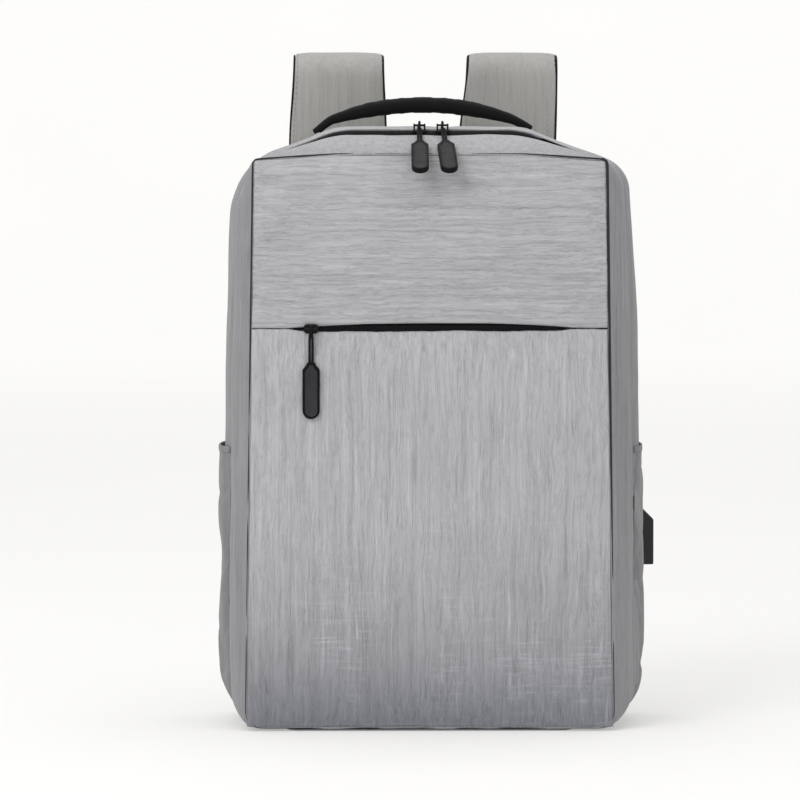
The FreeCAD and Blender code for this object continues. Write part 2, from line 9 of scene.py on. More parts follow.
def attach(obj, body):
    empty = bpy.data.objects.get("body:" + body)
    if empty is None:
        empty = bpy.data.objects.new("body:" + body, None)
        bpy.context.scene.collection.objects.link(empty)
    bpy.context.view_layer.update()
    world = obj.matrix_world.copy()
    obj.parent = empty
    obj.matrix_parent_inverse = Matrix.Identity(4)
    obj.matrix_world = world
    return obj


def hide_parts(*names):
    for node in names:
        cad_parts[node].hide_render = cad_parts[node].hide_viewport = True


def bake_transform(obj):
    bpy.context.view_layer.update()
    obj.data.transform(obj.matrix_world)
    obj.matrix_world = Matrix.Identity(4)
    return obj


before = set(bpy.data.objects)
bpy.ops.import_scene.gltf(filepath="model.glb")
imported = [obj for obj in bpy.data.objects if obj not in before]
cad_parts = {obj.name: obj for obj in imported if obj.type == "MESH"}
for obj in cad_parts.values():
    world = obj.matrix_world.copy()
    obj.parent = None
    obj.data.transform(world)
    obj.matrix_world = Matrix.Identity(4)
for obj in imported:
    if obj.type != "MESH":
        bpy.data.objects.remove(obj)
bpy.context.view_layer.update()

SCENE = bpy.context.scene
MM = 0.001

# ---------------------------------------------------------------------------------------------
# Driving sizes, in millimetres in the row frame.

Station = namedtuple("Station", "y base_half top_half base_z crown_z drop base_radius top_radius")
FRONT_STATIONS = [
    Station(-65.0, 128.4, 122.6, 1.7, 400.2, 4.0, 12.0, 4.0),
    Station(-60.0, 132.8, 127.2, 1.5, 402.8, 8.0, 14.0, 12.0),
    Station(-53.0, 136.6, 131.6, 1.4, 406.8, 13.0, 20.0, 22.0),
    Station(-46.0, 138.8, 133.8, 1.4, 410.6, 18.0, 24.0, 24.0),
    Station(-40.0, 139.4, 134.4, 1.6, 412.6, 21.0, 27.0, 26.0),
]
REAR_STATIONS = [
    Station(-34.0, 137.6, 133.0, 2.0, 416.4, 27.5, 29.0, 25.0),
    Station(-22.0, 141.6, 138.0, 1.8, 417.9, 28.0, 32.0, 24.0),
    Station(-5.0, 143.4, 139.6, 1.8, 417.0, 28.0, 34.0, 24.0),
    Station(25.0, 142.6, 139.0, 1.8, 415.0, 28.0, 35.0, 24.0),
    Station(46.0, 140.0, 136.4, 2.0, 413.0, 28.0, 35.0, 24.0),
    Station(56.0, 136.4, 133.0, 2.2, 410.4, 28.0, 35.0, 24.0),
]
CROWN_HALF = 64.0
CROWN_BEND = 60.0
LEFT_SLUMP = 23.0
HARD_RADIUS = 9.0
SOFT_RADIUS = 24.0
SEAM_Z = 279.0
SLIT_LEFT = -96.0
SLIT_RIGHT = 97.0
SLIT_HALF = 2.4
SLIT_BOW = 1.0
LOWER_FULLNESS = 7.0
PANEL_SPACING = 3.2
PANEL_ROLL = 1.7
ZIP_Y = -37.0


def station_at(stations, y):
    """Outline sizes at any depth, eased between the stations with a Catmull-Rom curve."""
    ys = [station.y for station in stations]
    y = min(max(y, ys[0]), ys[-1])
    index = max(i for i in range(len(ys) - 1) if ys[i] <= y)
    share = (y - ys[index]) / (ys[index + 1] - ys[index])
    picks = [stations[min(max(index + k, 0), len(stations) - 1)] for k in (-1, 0, 1, 2)]
    values = []
    for before, first, second, after in zip(*picks):
        slope_in = (second - before) / 2.0
        slope_out = (after - first) / 2.0
        squared = share * share
        cubed = squared * share
        values.append((2 * cubed - 3 * squared + 1) * first + (cubed - 2 * squared + share) * slope_in
                      + (3 * squared - 2 * cubed) * second + (cubed - squared) * slope_out)
    return Station(*values)


def rounded_loop(corners, arc_steps, line_steps):
    """Points round a closed polygon of (a, b, radius) corners, with arcs at its corners."""
    count = len(corners)
    arcs = []
    for index, (a, b, radius) in enumerate(corners):
        here = np.array([a, b])
        before = np.array(corners[index - 1][:2])
        after = np.array(corners[(index + 1) % count][:2])
        back = (before - here) / np.linalg.norm(before - here)
        ahead = (after - here) / np.linalg.norm(after - here)
        half_turn = (math.pi - math.acos(float(np.clip(back @ ahead, -1, 1)))) / 2.0
        bisector = (back + ahead) / np.linalg.norm(back + ahead)
        centre = here + bisector * radius / math.cos(half_turn)
        start = here + back * radius * math.tan(half_turn)
        end = here + ahead * radius * math.tan(half_turn)
        first = math.atan2(*(start - centre)[::-1])
        turn = (math.atan2(*(end - centre)[::-1]) - first + math.pi) % (2 * math.pi) - math.pi
        angles = first + turn * np.linspace(0, 1, arc_steps)
        arcs.append(centre + radius * np.stack([np.cos(angles), np.sin(angles)], axis=1))
    points = []
    for index in range(count):
        points.append(arcs[index])
        start = arcs[index][-1]
        end = arcs[(index + 1) % count][0]
        steps = np.linspace(0, 1, line_steps[index] + 2)[1:-1, None]
        points.append(start + (end - start) * steps)
    return np.concatenate(points)


SWELL_HEIGHTS = [0.0, 25.0, 60.0, 110.0, 250.0, 290.0, 340.0, 372.0, 395.0, 405.0]
SWELL_RIGHT = [5.5, 5.5, 5.5, 5.6, 6.0, 5.0, 2.6, 0.7, 0.0, 0.0]
SWELL_LEFT = [-1.5, -1.5, 0.4, 1.2, 1.4, 0.0, -0.6, -1.5, -0.8, 0.0]
SWELL_RUN = 40.0
SWELL_FADE_Y = 30.0


def unit(value):
    """Number held between 0 and 1."""
    return min(max(value, 0.0), 1.0)


def swell(loop, y):
    """Fullness of a packed bag: its sides belly out between the seams, the right one more."""
    fade = 0.6 * unit((y - SWELL_FADE_Y) / 26.0)
    share = unit((y - FRONT_STATIONS[0].y) / SWELL_RUN) * (1.0 - fade)
    right = np.interp(loop[:, 1], SWELL_HEIGHTS, SWELL_RIGHT)
    left = np.interp(loop[:, 1], SWELL_HEIGHTS, SWELL_LEFT)
    reach = np.clip((np.abs(loop[:, 0]) - 60.0) / 60.0, 0.0, 1.0)
    push = np.where(loop[:, 0] > 0, right, -left) * reach * share
    return loop + np.stack([push, np.zeros(len(loop))], axis=1)


def body_loop(station, inset=0.0):
    """Closed outline of the bag, from the middle of one base corner round to the start."""
    base = station.base_half - inset
    top = station.top_half - inset
    floor = station.base_z + inset
    crown = station.crown_z - inset
    base_radius = max(station.base_radius - inset, 2.0)
    top_radius = max(station.top_radius - inset, 2.0)
    softness = unit((station.top_radius - HARD_RADIUS) / (SOFT_RADIUS - HARD_RADIUS))
    corners = [
        (-base, floor, base_radius),
        (base, floor, base_radius),
        (top, crown - station.drop, top_radius),
        (CROWN_HALF, crown, CROWN_BEND),
        (-CROWN_HALF, crown, CROWN_BEND),
        (-top, crown - station.drop, top_radius + LEFT_SLUMP * softness),
    ]
    return swell(rounded_loop(corners, 14, [60, 92, 10, 34, 10, 92]), station.y)


# ---------------------------------------------------------------------------------------------
# Mesh helpers. Points are in millimetres until a mesh is made.

def eased(value, low, high):
    """Smooth step from 0 at low to 1 at high."""
    share = np.clip((value - low) / (high - low), 0, 1)
    return share * share * (3 - 2 * share)


def add_object(name, points, faces):
    """Smooth object from points in millimetres."""
    mesh = bpy.data.meshes.new(name)
    mesh.from_pydata((np.asarray(points, float) * MM).tolist(), [], faces)
    mesh.update()
    mesh.shade_smooth()
    obj = bpy.data.objects.new(name, mesh)
    SCENE.collection.objects.link(obj)
    return obj


def standing(outline, y):
    """Points of an (x, z) outline that stands at one depth."""
    return np.stack([outline[:, 0], np.full(len(outline), y), outline[:, 1]], axis=1)


def add_tube(points, faces, rings):
    """Append a short tube of rings with the same number of points, capped at both ends."""
    base = len(points)
    count = len(rings[0])
    last = base + (len(rings) - 1) * count
    for ring in rings:
        points.extend(ring)
    for start in range(base, last, count):
        for k in range(count):
            a = start + k
            b = start + (k + 1) % count
            faces.append((a, b, b + count, a + count))
    faces.append(tuple(base + k for k in reversed(range(count))))
    faces.append(tuple(last + k for k in range(count)))


def grid_faces(rows, columns, wrap_rows=False, wrap_columns=False, flip=False):
    """Quads of a grid, which may close on itself either way."""
    faces = []
    for i in range(rows if wrap_rows else rows - 1):
        for j in range(columns if wrap_columns else columns - 1):
            a = i * columns + j
            b = i * columns + (j + 1) % columns
            c = ((i + 1) % rows) * columns + (j + 1) % columns
            d = ((i + 1) % rows) * columns + j
            faces.append((a, d, c, b) if flip else (a, b, c, d))
    return faces


def grid_object(name, grid, wrap_rows=False, wrap_columns=False, flip=False, caps=False):
    """Object from a (rows, columns, 3) grid, with its two end rows closed if asked."""
    rows, columns, _ = grid.shape
    faces = grid_faces(rows, columns, wrap_rows, wrap_columns, flip)
    if caps:
        first = list(range(columns))
        last = [(rows - 1) * columns + j for j in range(columns)]
        faces.append(tuple(first) if flip else tuple(reversed(first)))
        faces.append(tuple(reversed(last)) if flip else tuple(last))
    return add_object(name, grid.reshape(-1, 3), faces)


def joined(name, objects):
    """One object from several."""
    bpy.ops.object.select_all(action="DESELECT")
    for obj in objects:
        obj.select_set(True)
    bpy.context.view_layer.objects.active = objects[0]
    bpy.ops.object.join()
    objects[0].name = name
    objects[0].data.name = name
    return objects[0]


def add_modifier(obj, kind, **settings):
    """Modifier with its settings."""
    modifier = obj.modifiers.new(kind.lower(), kind)
    for key, value in settings.items():
        setattr(modifier, key, value)
    return modifier


def apply_all(obj):
    """Replace an object's mesh with its evaluated mesh."""
    depsgraph = bpy.context.evaluated_depsgraph_get()
    mesh = bpy.data.meshes.new_from_object(obj.evaluated_get(depsgraph))
    obj.modifiers.clear()
    obj.data = mesh
    obj.data.shade_smooth()
    return obj


def smoothed(obj, applied=True):
    """One level of subdivision, worked into the mesh unless the piece keeps its modifier."""
    add_modifier(obj, "SUBSURF", levels=1, render_levels=1)
    return apply_all(obj) if applied else obj


def thicken(obj, thickness, inner_material=None):
    """Give a sheet its thickness, with a lining on its inner side."""
    if inner_material is not None:
        obj.data.materials.append(inner_material)
    add_modifier(obj, "SOLIDIFY", thickness=thickness * MM, offset=-1.0,
                 material_offset=1 if inner_material is not None else 0)
    return obj


def coordinates(obj):
    """Vertex positions of an object as an array, in metres."""
    values = np.empty(len(obj.data.vertices) * 3)
    obj.data.vertices.foreach_get("co", values)
    return values.reshape(-1, 3)


def set_coordinates(obj, values):
    """Write vertex positions back."""
    obj.data.vertices.foreach_set("co", np.ascontiguousarray(values, float).ravel())
    obj.data.update()


def ripple(obj, amount, wavelength, seed=0.0, keep=None):
    """Push a surface in and out by smooth noise with a wavelength along each axis, in millimetres."""
    points = coordinates(obj)
    normals = np.empty(len(obj.data.vertices) * 3)
    obj.data.vertices.foreach_get("normal", normals)
    normals = normals.reshape(-1, 3)
    scale = 1.0 / (np.array(wavelength) * MM)
    push = np.empty(len(points))
    for index, point in enumerate(points):
        place = Vector(point * scale) + Vector((seed, seed * 0.7, -seed))
        push[index] = noise.noise(place) + 0.45 * noise.noise(place * 2.1)
    if keep is not None:
        push *= keep(points / MM)
    set_coordinates(obj, points + normals * (push * amount * MM)[:, None])
    return obj


CLOTH_FRAMES = 20


def settle(obj, pinned, pressure, cap, shrink, stiffness):
    """Cloth simulation of a sheet or a closed pad, with pinned vertices and a capped movement."""
    before = coordinates(obj)
    group = obj.vertex_groups.new(name="pinned")
    if len(pinned):
        group.add([int(i) for i in pinned], 1.0, "REPLACE")
    modifier = obj.modifiers.new("cloth", "CLOTH")
    cloth = modifier.settings
    cloth.quality = 6
    cloth.mass = 0.15
    cloth.tension_stiffness = stiffness
    cloth.compression_stiffness = stiffness
    cloth.shear_stiffness = stiffness * 0.5
    cloth.bending_stiffness = 0.4
    cloth.tension_damping = 8
    cloth.compression_damping = 8
    cloth.shrink_min = shrink
    cloth.use_pressure = True
    cloth.uniform_pressure_force = pressure
    cloth.effector_weights.gravity = 0.0
    if len(pinned):
        cloth.vertex_group_mass = "pinned"
    modifier.collision_settings.use_collision = False
    modifier.collision_settings.use_self_collision = False
    modifier.point_cache.frame_start = 1
    modifier.point_cache.frame_end = CLOTH_FRAMES
    for step in range(1, CLOTH_FRAMES + 1):
        SCENE.frame_set(step)
    depsgraph = bpy.context.evaluated_depsgraph_get()
    move = coordinates(obj.evaluated_get(depsgraph)) - before
    length = np.linalg.norm(move, axis=1)
    limit = cap * MM
    capped = limit * np.tanh(length / limit)
    move *= (capped / np.maximum(length, 1e-9))[:, None]
    obj.modifiers.remove(modifier)
    obj.vertex_groups.clear()
    SCENE.frame_set(1)
    set_coordinates(obj, before + move)
    return obj


def sweep(name, path, section, up):
    """Capped tube along a path.

    The section is a list of (across, out) points, or a function of the place's index that gives
    one. The out side looks along up, which is one direction or one for each place.
    """
    path = np.asarray(path, float)
    ups = np.broadcast_to(np.asarray(up, float), path.shape)
    rows = []
    last = len(path) - 1
    for index, point in enumerate(path):
        ahead = path[min(index + 1, last)] - path[max(index - 1, 0)]
        ahead /= np.linalg.norm(ahead)
        out = ups[index] - ahead * (ups[index] @ ahead)
        out /= np.linalg.norm(out)
        across = np.cross(ahead, out)
        shape = section(index) if callable(section) else section
        rows.append([point + across * a + out * b for a, b in shape])
    return grid_object(name, np.array(rows), wrap_columns=True, caps=True)


def square_to(line):
    """Direction square to a line in the YZ plane, at each of its points."""
    ahead = np.gradient(line, axis=0)
    out = np.stack([np.zeros(len(line)), -ahead[:, 2], ahead[:, 1]], axis=1)
    return out / np.linalg.norm(out, axis=1)[:, None]


def superellipse(half_width, half_thick, power=5, count=20, lift=0.0):
    """Closed rounded section, from an ellipse at power 2 to nearly a rectangle at power 6."""
    points = []
    for step in range(count):
        angle = 2 * math.pi * step / count
        cosine = math.cos(angle)
        sine = math.sin(angle)
        a = math.copysign(abs(cosine) ** (2.0 / power), cosine) * half_width
        b = math.copysign(abs(sine) ** (2.0 / power), sine) * half_thick
        points.append((a, b + lift))
    return points


# ---------------------------------------------------------------------------------------------
# Materials. A net is a material's node tree.

def new_material(name):
    """Empty material with its net and its shader."""
    material = bpy.data.materials.new(name)
    material.use_nodes = True
    net = material.node_tree
    return material, net, net.nodes["Principled BSDF"]


def set_inputs(node, **values):
    """Fixed values of a node's inputs, with underscores for the spaces in their names."""
    for name, value in values.items():
        node.inputs[name.replace("_", " ")].default_value = value


def feed(net, value, socket):
    """Give a socket a number or a link."""
    if isinstance(value, (int, float)):
        socket.default_value = value
    else:
        net.links.new(value, socket)


def object_coordinates(net, scale=(1, 1, 1), warp=0.0, warp_scale=40.0):
    """Object coordinates stretched by a scale, and warped a little by noise."""
    source = net.nodes.new("ShaderNodeTexCoord").outputs["Object"]
    if warp:
        cloud = net.nodes.new("ShaderNodeTexNoise")
        set_inputs(cloud, Scale=warp_scale)
        net.links.new(source, cloud.inputs["Vector"])
        scaled = net.nodes.new("ShaderNodeVectorMath")
        scaled.operation = "MULTIPLY_ADD"
        scaled.inputs[1].default_value = (warp, warp, warp)
        net.links.new(cloud.outputs["Color"], scaled.inputs[0])
        net.links.new(source, scaled.inputs[2])
        source = scaled.outputs["Vector"]
    mapping = net.nodes.new("ShaderNodeMapping")
    set_inputs(mapping, Scale=scale)
    net.links.new(source, mapping.inputs["Vector"])
    return mapping.outputs["Vector"]


def noise_node(net, scale, detail, warp=0.0, warp_scale=40.0):
    """Noise over stretched object coordinates."""
    node = net.nodes.new("ShaderNodeTexNoise")
    set_inputs(node, Scale=1.0, Detail=detail, Roughness=0.6)
    net.links.new(object_coordinates(net, scale, warp, warp_scale), node.inputs["Vector"])
    return node.outputs["Fac"]


def math_node(net, operation, first, second):
    """One step of arithmetic on sockets or numbers."""
    node = net.nodes.new("ShaderNodeMath")
    node.operation = operation
    feed(net, first, node.inputs[0])
    feed(net, second, node.inputs[1])
    return node.outputs["Value"]


def ramp_node(net, value, stops):
    """Colour ramp with (place, colour) stops, where a number stands for a grey."""
    node = net.nodes.new("ShaderNodeValToRGB")
    elements = node.color_ramp.elements
    while len(elements) < len(stops):
        elements.new(0.5)
    for element, (place, colour) in zip(elements, stops):
        channels = colour if isinstance(colour, tuple) else (colour,) * 3
        element.position = place
        element.color = (*channels, 1.0)
    net.links.new(value, node.inputs["Fac"])
    return node.outputs["Color"]


def mix_node(net, factor, first, second, blend="MIX"):
    """Mix of two colours."""
    node = net.nodes.new("ShaderNodeMix")
    node.data_type = "RGBA"
    node.blend_type = blend
    for index, value in ((0, factor), (6, first), (7, second)):
        feed(net, value, node.inputs[index])
    return node.outputs[2]


def bump_node(net, height, strength, distance, normal=None):
    """Bump from a height, which may lie on top of another bump."""
    node = net.nodes.new("ShaderNodeBump")
    set_inputs(node, Strength=strength, Distance=distance * MM)
    net.links.new(height, node.inputs["Height"])
    if normal is not None:
        net.links.new(normal, node.inputs["Normal"])
    return node.outputs["Normal"]


def woven(net, directions, scale, **settings):
    """Height of two sets of threads that cross."""
    threads = []
    for direction in directions:
        wave = net.nodes.new("ShaderNodeTexWave")
        wave.bands_direction = direction
        set_inputs(wave, Scale=scale, **settings)
        net.links.new(object_coordinates(net), wave.inputs["Vector"])
        threads.append(wave.outputs["Fac"])
    return math_node(net, "MULTIPLY", threads[0], threads[1])


def axis_share(net, axis, length):
    """Object coordinate along an axis, as a share of a length in metres."""
    place = net.nodes.new("ShaderNodeTexCoord")
    split = net.nodes.new("ShaderNodeSeparateXYZ")
    net.links.new(place.outputs["Object"], split.inputs["Vector"])
    return math_node(net, "DIVIDE", split.outputs[axis], length)


def completed(material, shader, tint, normal, **values):
    """Material with its colour, its surface normal and its fixed values."""
    net = material.node_tree
    net.links.new(tint, shader.inputs["Base Color"])
    net.links.new(normal, shader.inputs["Normal"])
    set_inputs(shader, **values)
    return material


def shade(colour, factor):
    """Colour made lighter or darker."""
    return tuple(min(channel * factor, 1.0) for channel in colour)


def streak_scale(along, across_rate, along_rate):
    """Texture scale that stretches a pattern along one axis."""
    return tuple(along_rate if axis == along else across_rate for axis in "xyz")


TONE_TOP = 0.42
HATCH_TONES = [(0.02, 1), (0.06, 1), (0.10, 0.3), (0.22, 0)]
THREAD_TONES = [(0.30, -0.30), (0.46, -0.05), (0.56, 0.03), (0.72, 0.26)]


def height_tones(net, tint, tones):
    """Fabric colour multiplied by a tone that changes with the height in the bag, in metres."""
    share = axis_share(net, "Z", TONE_TOP)
    tone = ramp_node(net, share, [(z / TONE_TOP, colour) for z, colour in tones])
    return mix_node(net, 1.0, tint, tone, "MULTIPLY")


def thread_tint(net, fine, colour, along, slubs):
    """Colours of the threads: fine streaks and longer slubs, under soft clouds."""
    slub = noise_node(net, streak_scale(along, 300, 7), 4, 0.003)
    value = math_node(net, "MULTIPLY", fine, 0.45)
    value = math_node(net, "ADD", value, math_node(net, "MULTIPLY", slub, 0.55))
    stops = [(place, shade(colour, 1 + change * slubs)) for place, change in THREAD_TONES]
    cloud = noise_node(net, (14, 14, 14), 3)
    soft = ramp_node(net, cloud, [(0.25, (0.93, 0.93, 0.94)), (0.75, 1.05)])
    return mix_node(net, 1.0, ramp_node(net, value, stops), soft, "MULTIPLY")


def crease_shaded(net, tint, wrinkle, crinkle):
    """Fabric colour darkened along the wrinkles: painted shade in the creases."""
    crease = math_node(net, "ABSOLUTE", math_node(net, "SUBTRACT", wrinkle, 0.5), 0.0)
    # Painted shade: darker colour in the crease valleys.
    crease_shade = ramp_node(net, crease, [(0.0, (0.74, 0.74, 0.75)), (0.012, 0.93), (0.05, 1.0)])
    return mix_node(net, min(0.9 * crinkle, 1.0), tint, crease_shade, "MULTIPLY")


def hatched(net, tint, amount):
    """Fabric colour with patches of bright crossing threads low on the bag."""
    patch = ramp_node(net, noise_node(net, (22, 22, 10), 2), [(0.48, 0), (0.62, 1)])
    patch = height_tones(net, patch, HATCH_TONES)
    bars = [noise_node(net, scale, 2, 0.003) for scale in ((620, 620, 40), (40, 40, 560))]
    bars = math_node(net, "MAXIMUM", bars[0], bars[1])
    bright = ramp_node(net, bars, [(0.52, 0.96), (0.68, (1.30, 1.30, 1.31))])
    factor = math_node(net, "MULTIPLY", patch, amount)
    return mix_node(net, factor, tint, mix_node(net, 1.0, tint, bright, "MULTIPLY"))


def melange_fabric(name, colour, along, crinkle=1.0, hatch=0.0, tones=None, slubs=1.0):
    """Slub polyester: streaks and crinkles along one axis over a fine plain weave."""
    material, net, shader = new_material(name)
    fine = noise_node(net, streak_scale(along, 900, 26), 3, 0.002)
    wrinkle = noise_node(net, streak_scale(along, 210, 9), 5, 0.007, 38)
    tint = crease_shaded(net, thread_tint(net, fine, colour, along, slubs), wrinkle, crinkle)
    if hatch:
        tint = hatched(net, tint, hatch)
    # Tones by height: painted shade low on the lower front panel, painted light on the top of the gussets.
    if tones:
        tint = height_tones(net, tint, tones)
    normal = bump_node(net, woven(net, ("X", "Z"), 420.0, Distortion=1.2, Detail=1.0), 0.3, 0.14)
    normal = bump_node(net, fine, 0.8, 0.42, normal)
    normal = bump_node(net, wrinkle, min(crinkle, 1.0), 3.0, normal)
    return completed(material, shader, tint, normal, Roughness=0.88, Specular_IOR_Level=0.25,
                     Sheen_Weight=0.12, Sheen_Roughness=0.5)


def lining_fabric():
    """Thin woven lining with faint creases."""
    material, net, shader = new_material("lining")
    weave = net.nodes.new("ShaderNodeTexChecker")
    set_inputs(weave, Scale=1400.0)
    net.links.new(object_coordinates(net), weave.inputs["Vector"])
    cloud = noise_node(net, (30, 30, 30), 4)
    tint = ramp_node(net, cloud, [(0.3, (0.075, 0.076, 0.082)), (0.7, (0.12, 0.121, 0.128))])
    normal = bump_node(net, weave.outputs["Fac"], 0.3, 0.1)
    normal = bump_node(net, cloud, 0.3, 2.0, normal)
    return completed(material, shader, tint, normal, Roughness=0.75)


def air_mesh():
    """Black knitted air mesh with small round holes."""
    material, net, shader = new_material("air_mesh")
    cells = net.nodes.new("ShaderNodeTexVoronoi")
    set_inputs(cells, Scale=420.0, Randomness=0.25)
    net.links.new(object_coordinates(net, (1, 1, 0.8), 0.0006, 90), cells.inputs["Vector"])
    distance = cells.outputs["Distance"]
    stops = [(0.18, (0.004, 0.004, 0.005)), (0.34, (0.022, 0.022, 0.024)), (0.7, (0.045, 0.045, 0.048))]
    return completed(material, shader, ramp_node(net, distance, stops), bump_node(net, distance, 0.9, 0.8),
                     Roughness=0.8, Specular_IOR_Level=0.2, Sheen_Weight=0.05)


def webbing_fabric(name, colour, rate=900.0):
    """Black woven webbing or ribbed tape."""
    material, net, shader = new_material(name)
    weave = woven(net, ("DIAGONAL", "Z"), rate / 3.0, Distortion=0.8)
    fuzz = noise_node(net, (rate, rate, rate), 3)
    value = math_node(net, "MULTIPLY", weave, 0.6)
    value = math_node(net, "ADD", value, math_node(net, "MULTIPLY", fuzz, 0.5))
    tint = ramp_node(net, value, [(0.15, shade(colour, 0.5)), (0.8, shade(colour, 1.9))])
    return completed(material, shader, tint, bump_node(net, value, 0.6, 0.35),
                     Roughness=0.82, Specular_IOR_Level=0.15, Sheen_Weight=0.02)


def moulded(name, colour, roughness, grain, coat=0.0, metallic=0.0, specular=0.3):
    """Moulded or painted surface with fine grain and faint rubbing."""
    material, net, shader = new_material(name)
    grains = noise_node(net, (grain, grain, grain), 2)
    rub = noise_node(net, (130, 130, 130), 4)
    tint = ramp_node(net, rub, [(0.3, shade(colour, 0.85)), (0.75, shade(colour, 1.25))])
    rough = ramp_node(net, rub, [(0.3, max(roughness - 0.08, 0.04)), (0.7, min(roughness + 0.1, 1.0))])
    net.links.new(rough, shader.inputs["Roughness"])
    return completed(material, shader, tint, bump_node(net, grains, 0.15, 0.08), Metallic=metallic,
                     Specular_IOR_Level=specular, Coat_Weight=coat, Coat_Roughness=0.08)


GREY = (0.414, 0.411, 0.430)
# Painted shade on the lower front panel: darker and cooler towards the bottom, where the fabric turns under
# the bag.
LOWER_PAINTED_SHADE = [(0.008, (0.48, 0.50, 0.53)), (0.022, (0.56, 0.575, 0.60)), (0.046, (0.70, 0.705, 0.72)),
               (0.09, (0.88, 0.88, 0.885)), (0.14, 0.97), (0.22, 1.0)]
# Painted light on the gussets: the fabric brightens at the top of the bag, where it faces up.
SIDE_PAINTED_LIGHT = [(0.0, 1.0), (0.385, 1.0), (0.407, 1.42)]


def make_materials():
    """Every material, by name."""
    return {
        "front_upper": melange_fabric("front_upper_fabric", GREY, "x", 1.15),
        "front_lower": melange_fabric("front_lower_fabric", GREY, "z", 0.9, 0.9, LOWER_PAINTED_SHADE),
        "side": melange_fabric("side_fabric", shade(GREY, 0.60), "z", 0.5, tones=SIDE_PAINTED_LIGHT),
        # Gusset fabric brightened to match the painted light on the top of the bag.
        "top_lit_fabric": melange_fabric("top_lit_fabric", shade(GREY, 0.85), "x", 0.5),
        "pocket": melange_fabric("pocket_fabric", shade(GREY, 0.50), "z", 0.4),
        "strap": melange_fabric("strap_fabric", (0.345, 0.341, 0.325), "z", 0.3, slubs=0.5),
        "lining": lining_fabric(),
        "mesh": air_mesh(),
        "webbing": webbing_fabric("webbing", (0.008, 0.008, 0.0085)),
        "handle": webbing_fabric("handle_fabric", (0.0045, 0.0045, 0.0048), 1300.0),
        # Dark cord that stands in for the shade in the front seam: painted shade.
        "seam": webbing_fabric("seam_shadow_cord", (0.026, 0.026, 0.028), 1800.0),
        "tape": webbing_fabric("zip_tape", (0.006, 0.006, 0.0065), 1600.0),
        "coil": moulded("zip_coil", (0.007, 0.007, 0.008), 0.4, 900),
        "cord": webbing_fabric("pull_cord", (0.006, 0.006, 0.0065), 2400.0),
        "rubber": moulded("pull_rubber", (0.0025, 0.0025, 0.003), 0.4, 1800, specular=0.10),
        "rubber_face": moulded("pull_rubber_face", (0.017, 0.016, 0.019), 0.45, 1800),
        # Darker copy of the face rubber for the main pulls, whose faces tilt up towards the light: painted
        # shade.
        "rubber_face_shaded": moulded("pull_rubber_face_shaded", (0.008, 0.008, 0.0085), 0.5, 1800, specular=0.25),
        "metal": moulded("slider_metal", (0.004, 0.004, 0.0045), 0.45, 700, specular=0.2),
        "plastic": moulded("buckle_plastic", (0.010, 0.010, 0.011), 0.48, 2200),
        "port": moulded("port_plastic", (0.006, 0.006, 0.008), 0.2, 600, coat=0.1),
        "steel": moulded("socket_steel", (0.6, 0.6, 0.61), 0.3, 900, metallic=1.0),
        "tongue": moulded("socket_plastic", (0.7, 0.7, 0.7), 0.5, 900),
        "board": moulded("board", (0.30, 0.31, 0.33), 0.7, 300),
        "lead": moulded("lead_jacket", (0.018, 0.018, 0.018), 0.5, 1200),
    }


MATERIALS = make_materials()


def dress(obj, material, body, slot, *replaced):
    """Give a piece its material and its body, and hide the nodes that it stands for; the slot is not used."""
    if not obj.data.materials:
        obj.data.materials.append(MATERIALS[material])
    else:
        obj.data.materials[0] = MATERIALS[material]
    if body is not None:
        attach(obj, body)
    if replaced:
        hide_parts(*replaced)
    return obj


# ---------------------------------------------------------------------------------------------
# Shells.

GUSSET_ROLL = 1.4


def shell_grid(stations, depths, roll, lip):
    """Loft of the outline at several depths, with both edges rolled in at the seams."""
    rows = []
    first = depths[0]
    last = depths[-1]
    for y in depths:
        inset = 0.0
        if y - first < roll:
            inset = lip * roll * (1 - math.sqrt(1 - (1 - (y - first) / roll) ** 2))
        if last - y < roll:
            inset = roll * (1 - math.sqrt(1 - (1 - (last - y) / roll) ** 2))
        rows.append(standing(body_loop(station_at(stations, y), inset), y))
    return np.array(rows)


def seam_depths(first, last, roll, count):
    """Depths that crowd together at the two rolled edges."""
    edge = [roll * (1 - math.cos(math.radians(a))) for a in (0, 30, 55, 75)]
    inner = np.linspace(first + roll * 1.2, last - roll * 1.2, count)
    return [first + e for e in edge] + list(inner) + [last - e for e in reversed(edge)]


def make_gusset(node, stations, ends, count, lip, body, seed):
    """Side, top and bottom fabric of one half of the bag."""
    depths = seam_depths(*ends, GUSSET_ROLL, count)
    grid = shell_grid(stations, depths, GUSSET_ROLL, lip)
    obj = grid_object(node + "_fabric", grid, wrap_columns=True, flip=True)
    ripple(obj, 0.7, (26, 14, 60), seed)
    obj.data.materials.append(MATERIALS["side"])
    thicken(obj, 1.6, MATERIALS["lining"])
    return dress(obj, "side", body, "shell_fabric", node)


def spread(length, spacing, edge):
    """Places from 0 to length, close together near both ends."""
    count = max(int(length / spacing), 4)
    middle = np.linspace(edge[-1] * 1.6, length - edge[-1] * 1.6, count)
    return np.concatenate([edge, middle, length - edge[::-1]]) / length


def corner_pull(across, up, reach_x, reach_z, radius):
    """Round the corners of a unit square map whose sides are 2*reach_x and 2*reach_z long."""
    x = across * reach_x
    z = up * reach_z
    dx = np.maximum(np.abs(x) - (reach_x - radius), 0) / radius
    dz = np.maximum(np.abs(z) - (reach_z - radius), 0) / radius
    inside = (dx > 0) & (dz > 0)
    new_dx = np.where(inside, dx * np.sqrt(1 - dz ** 2 / 2), dx)
    new_dz = np.where(inside, dz * np.sqrt(1 - dx ** 2 / 2), dz)
    x = np.sign(x) * (np.minimum(np.abs(x), reach_x - radius) + new_dx * radius)
    z = np.sign(z) * (np.minimum(np.abs(z), reach_z - radius) + new_dz * radius)
    return x / reach_x, z / reach_z


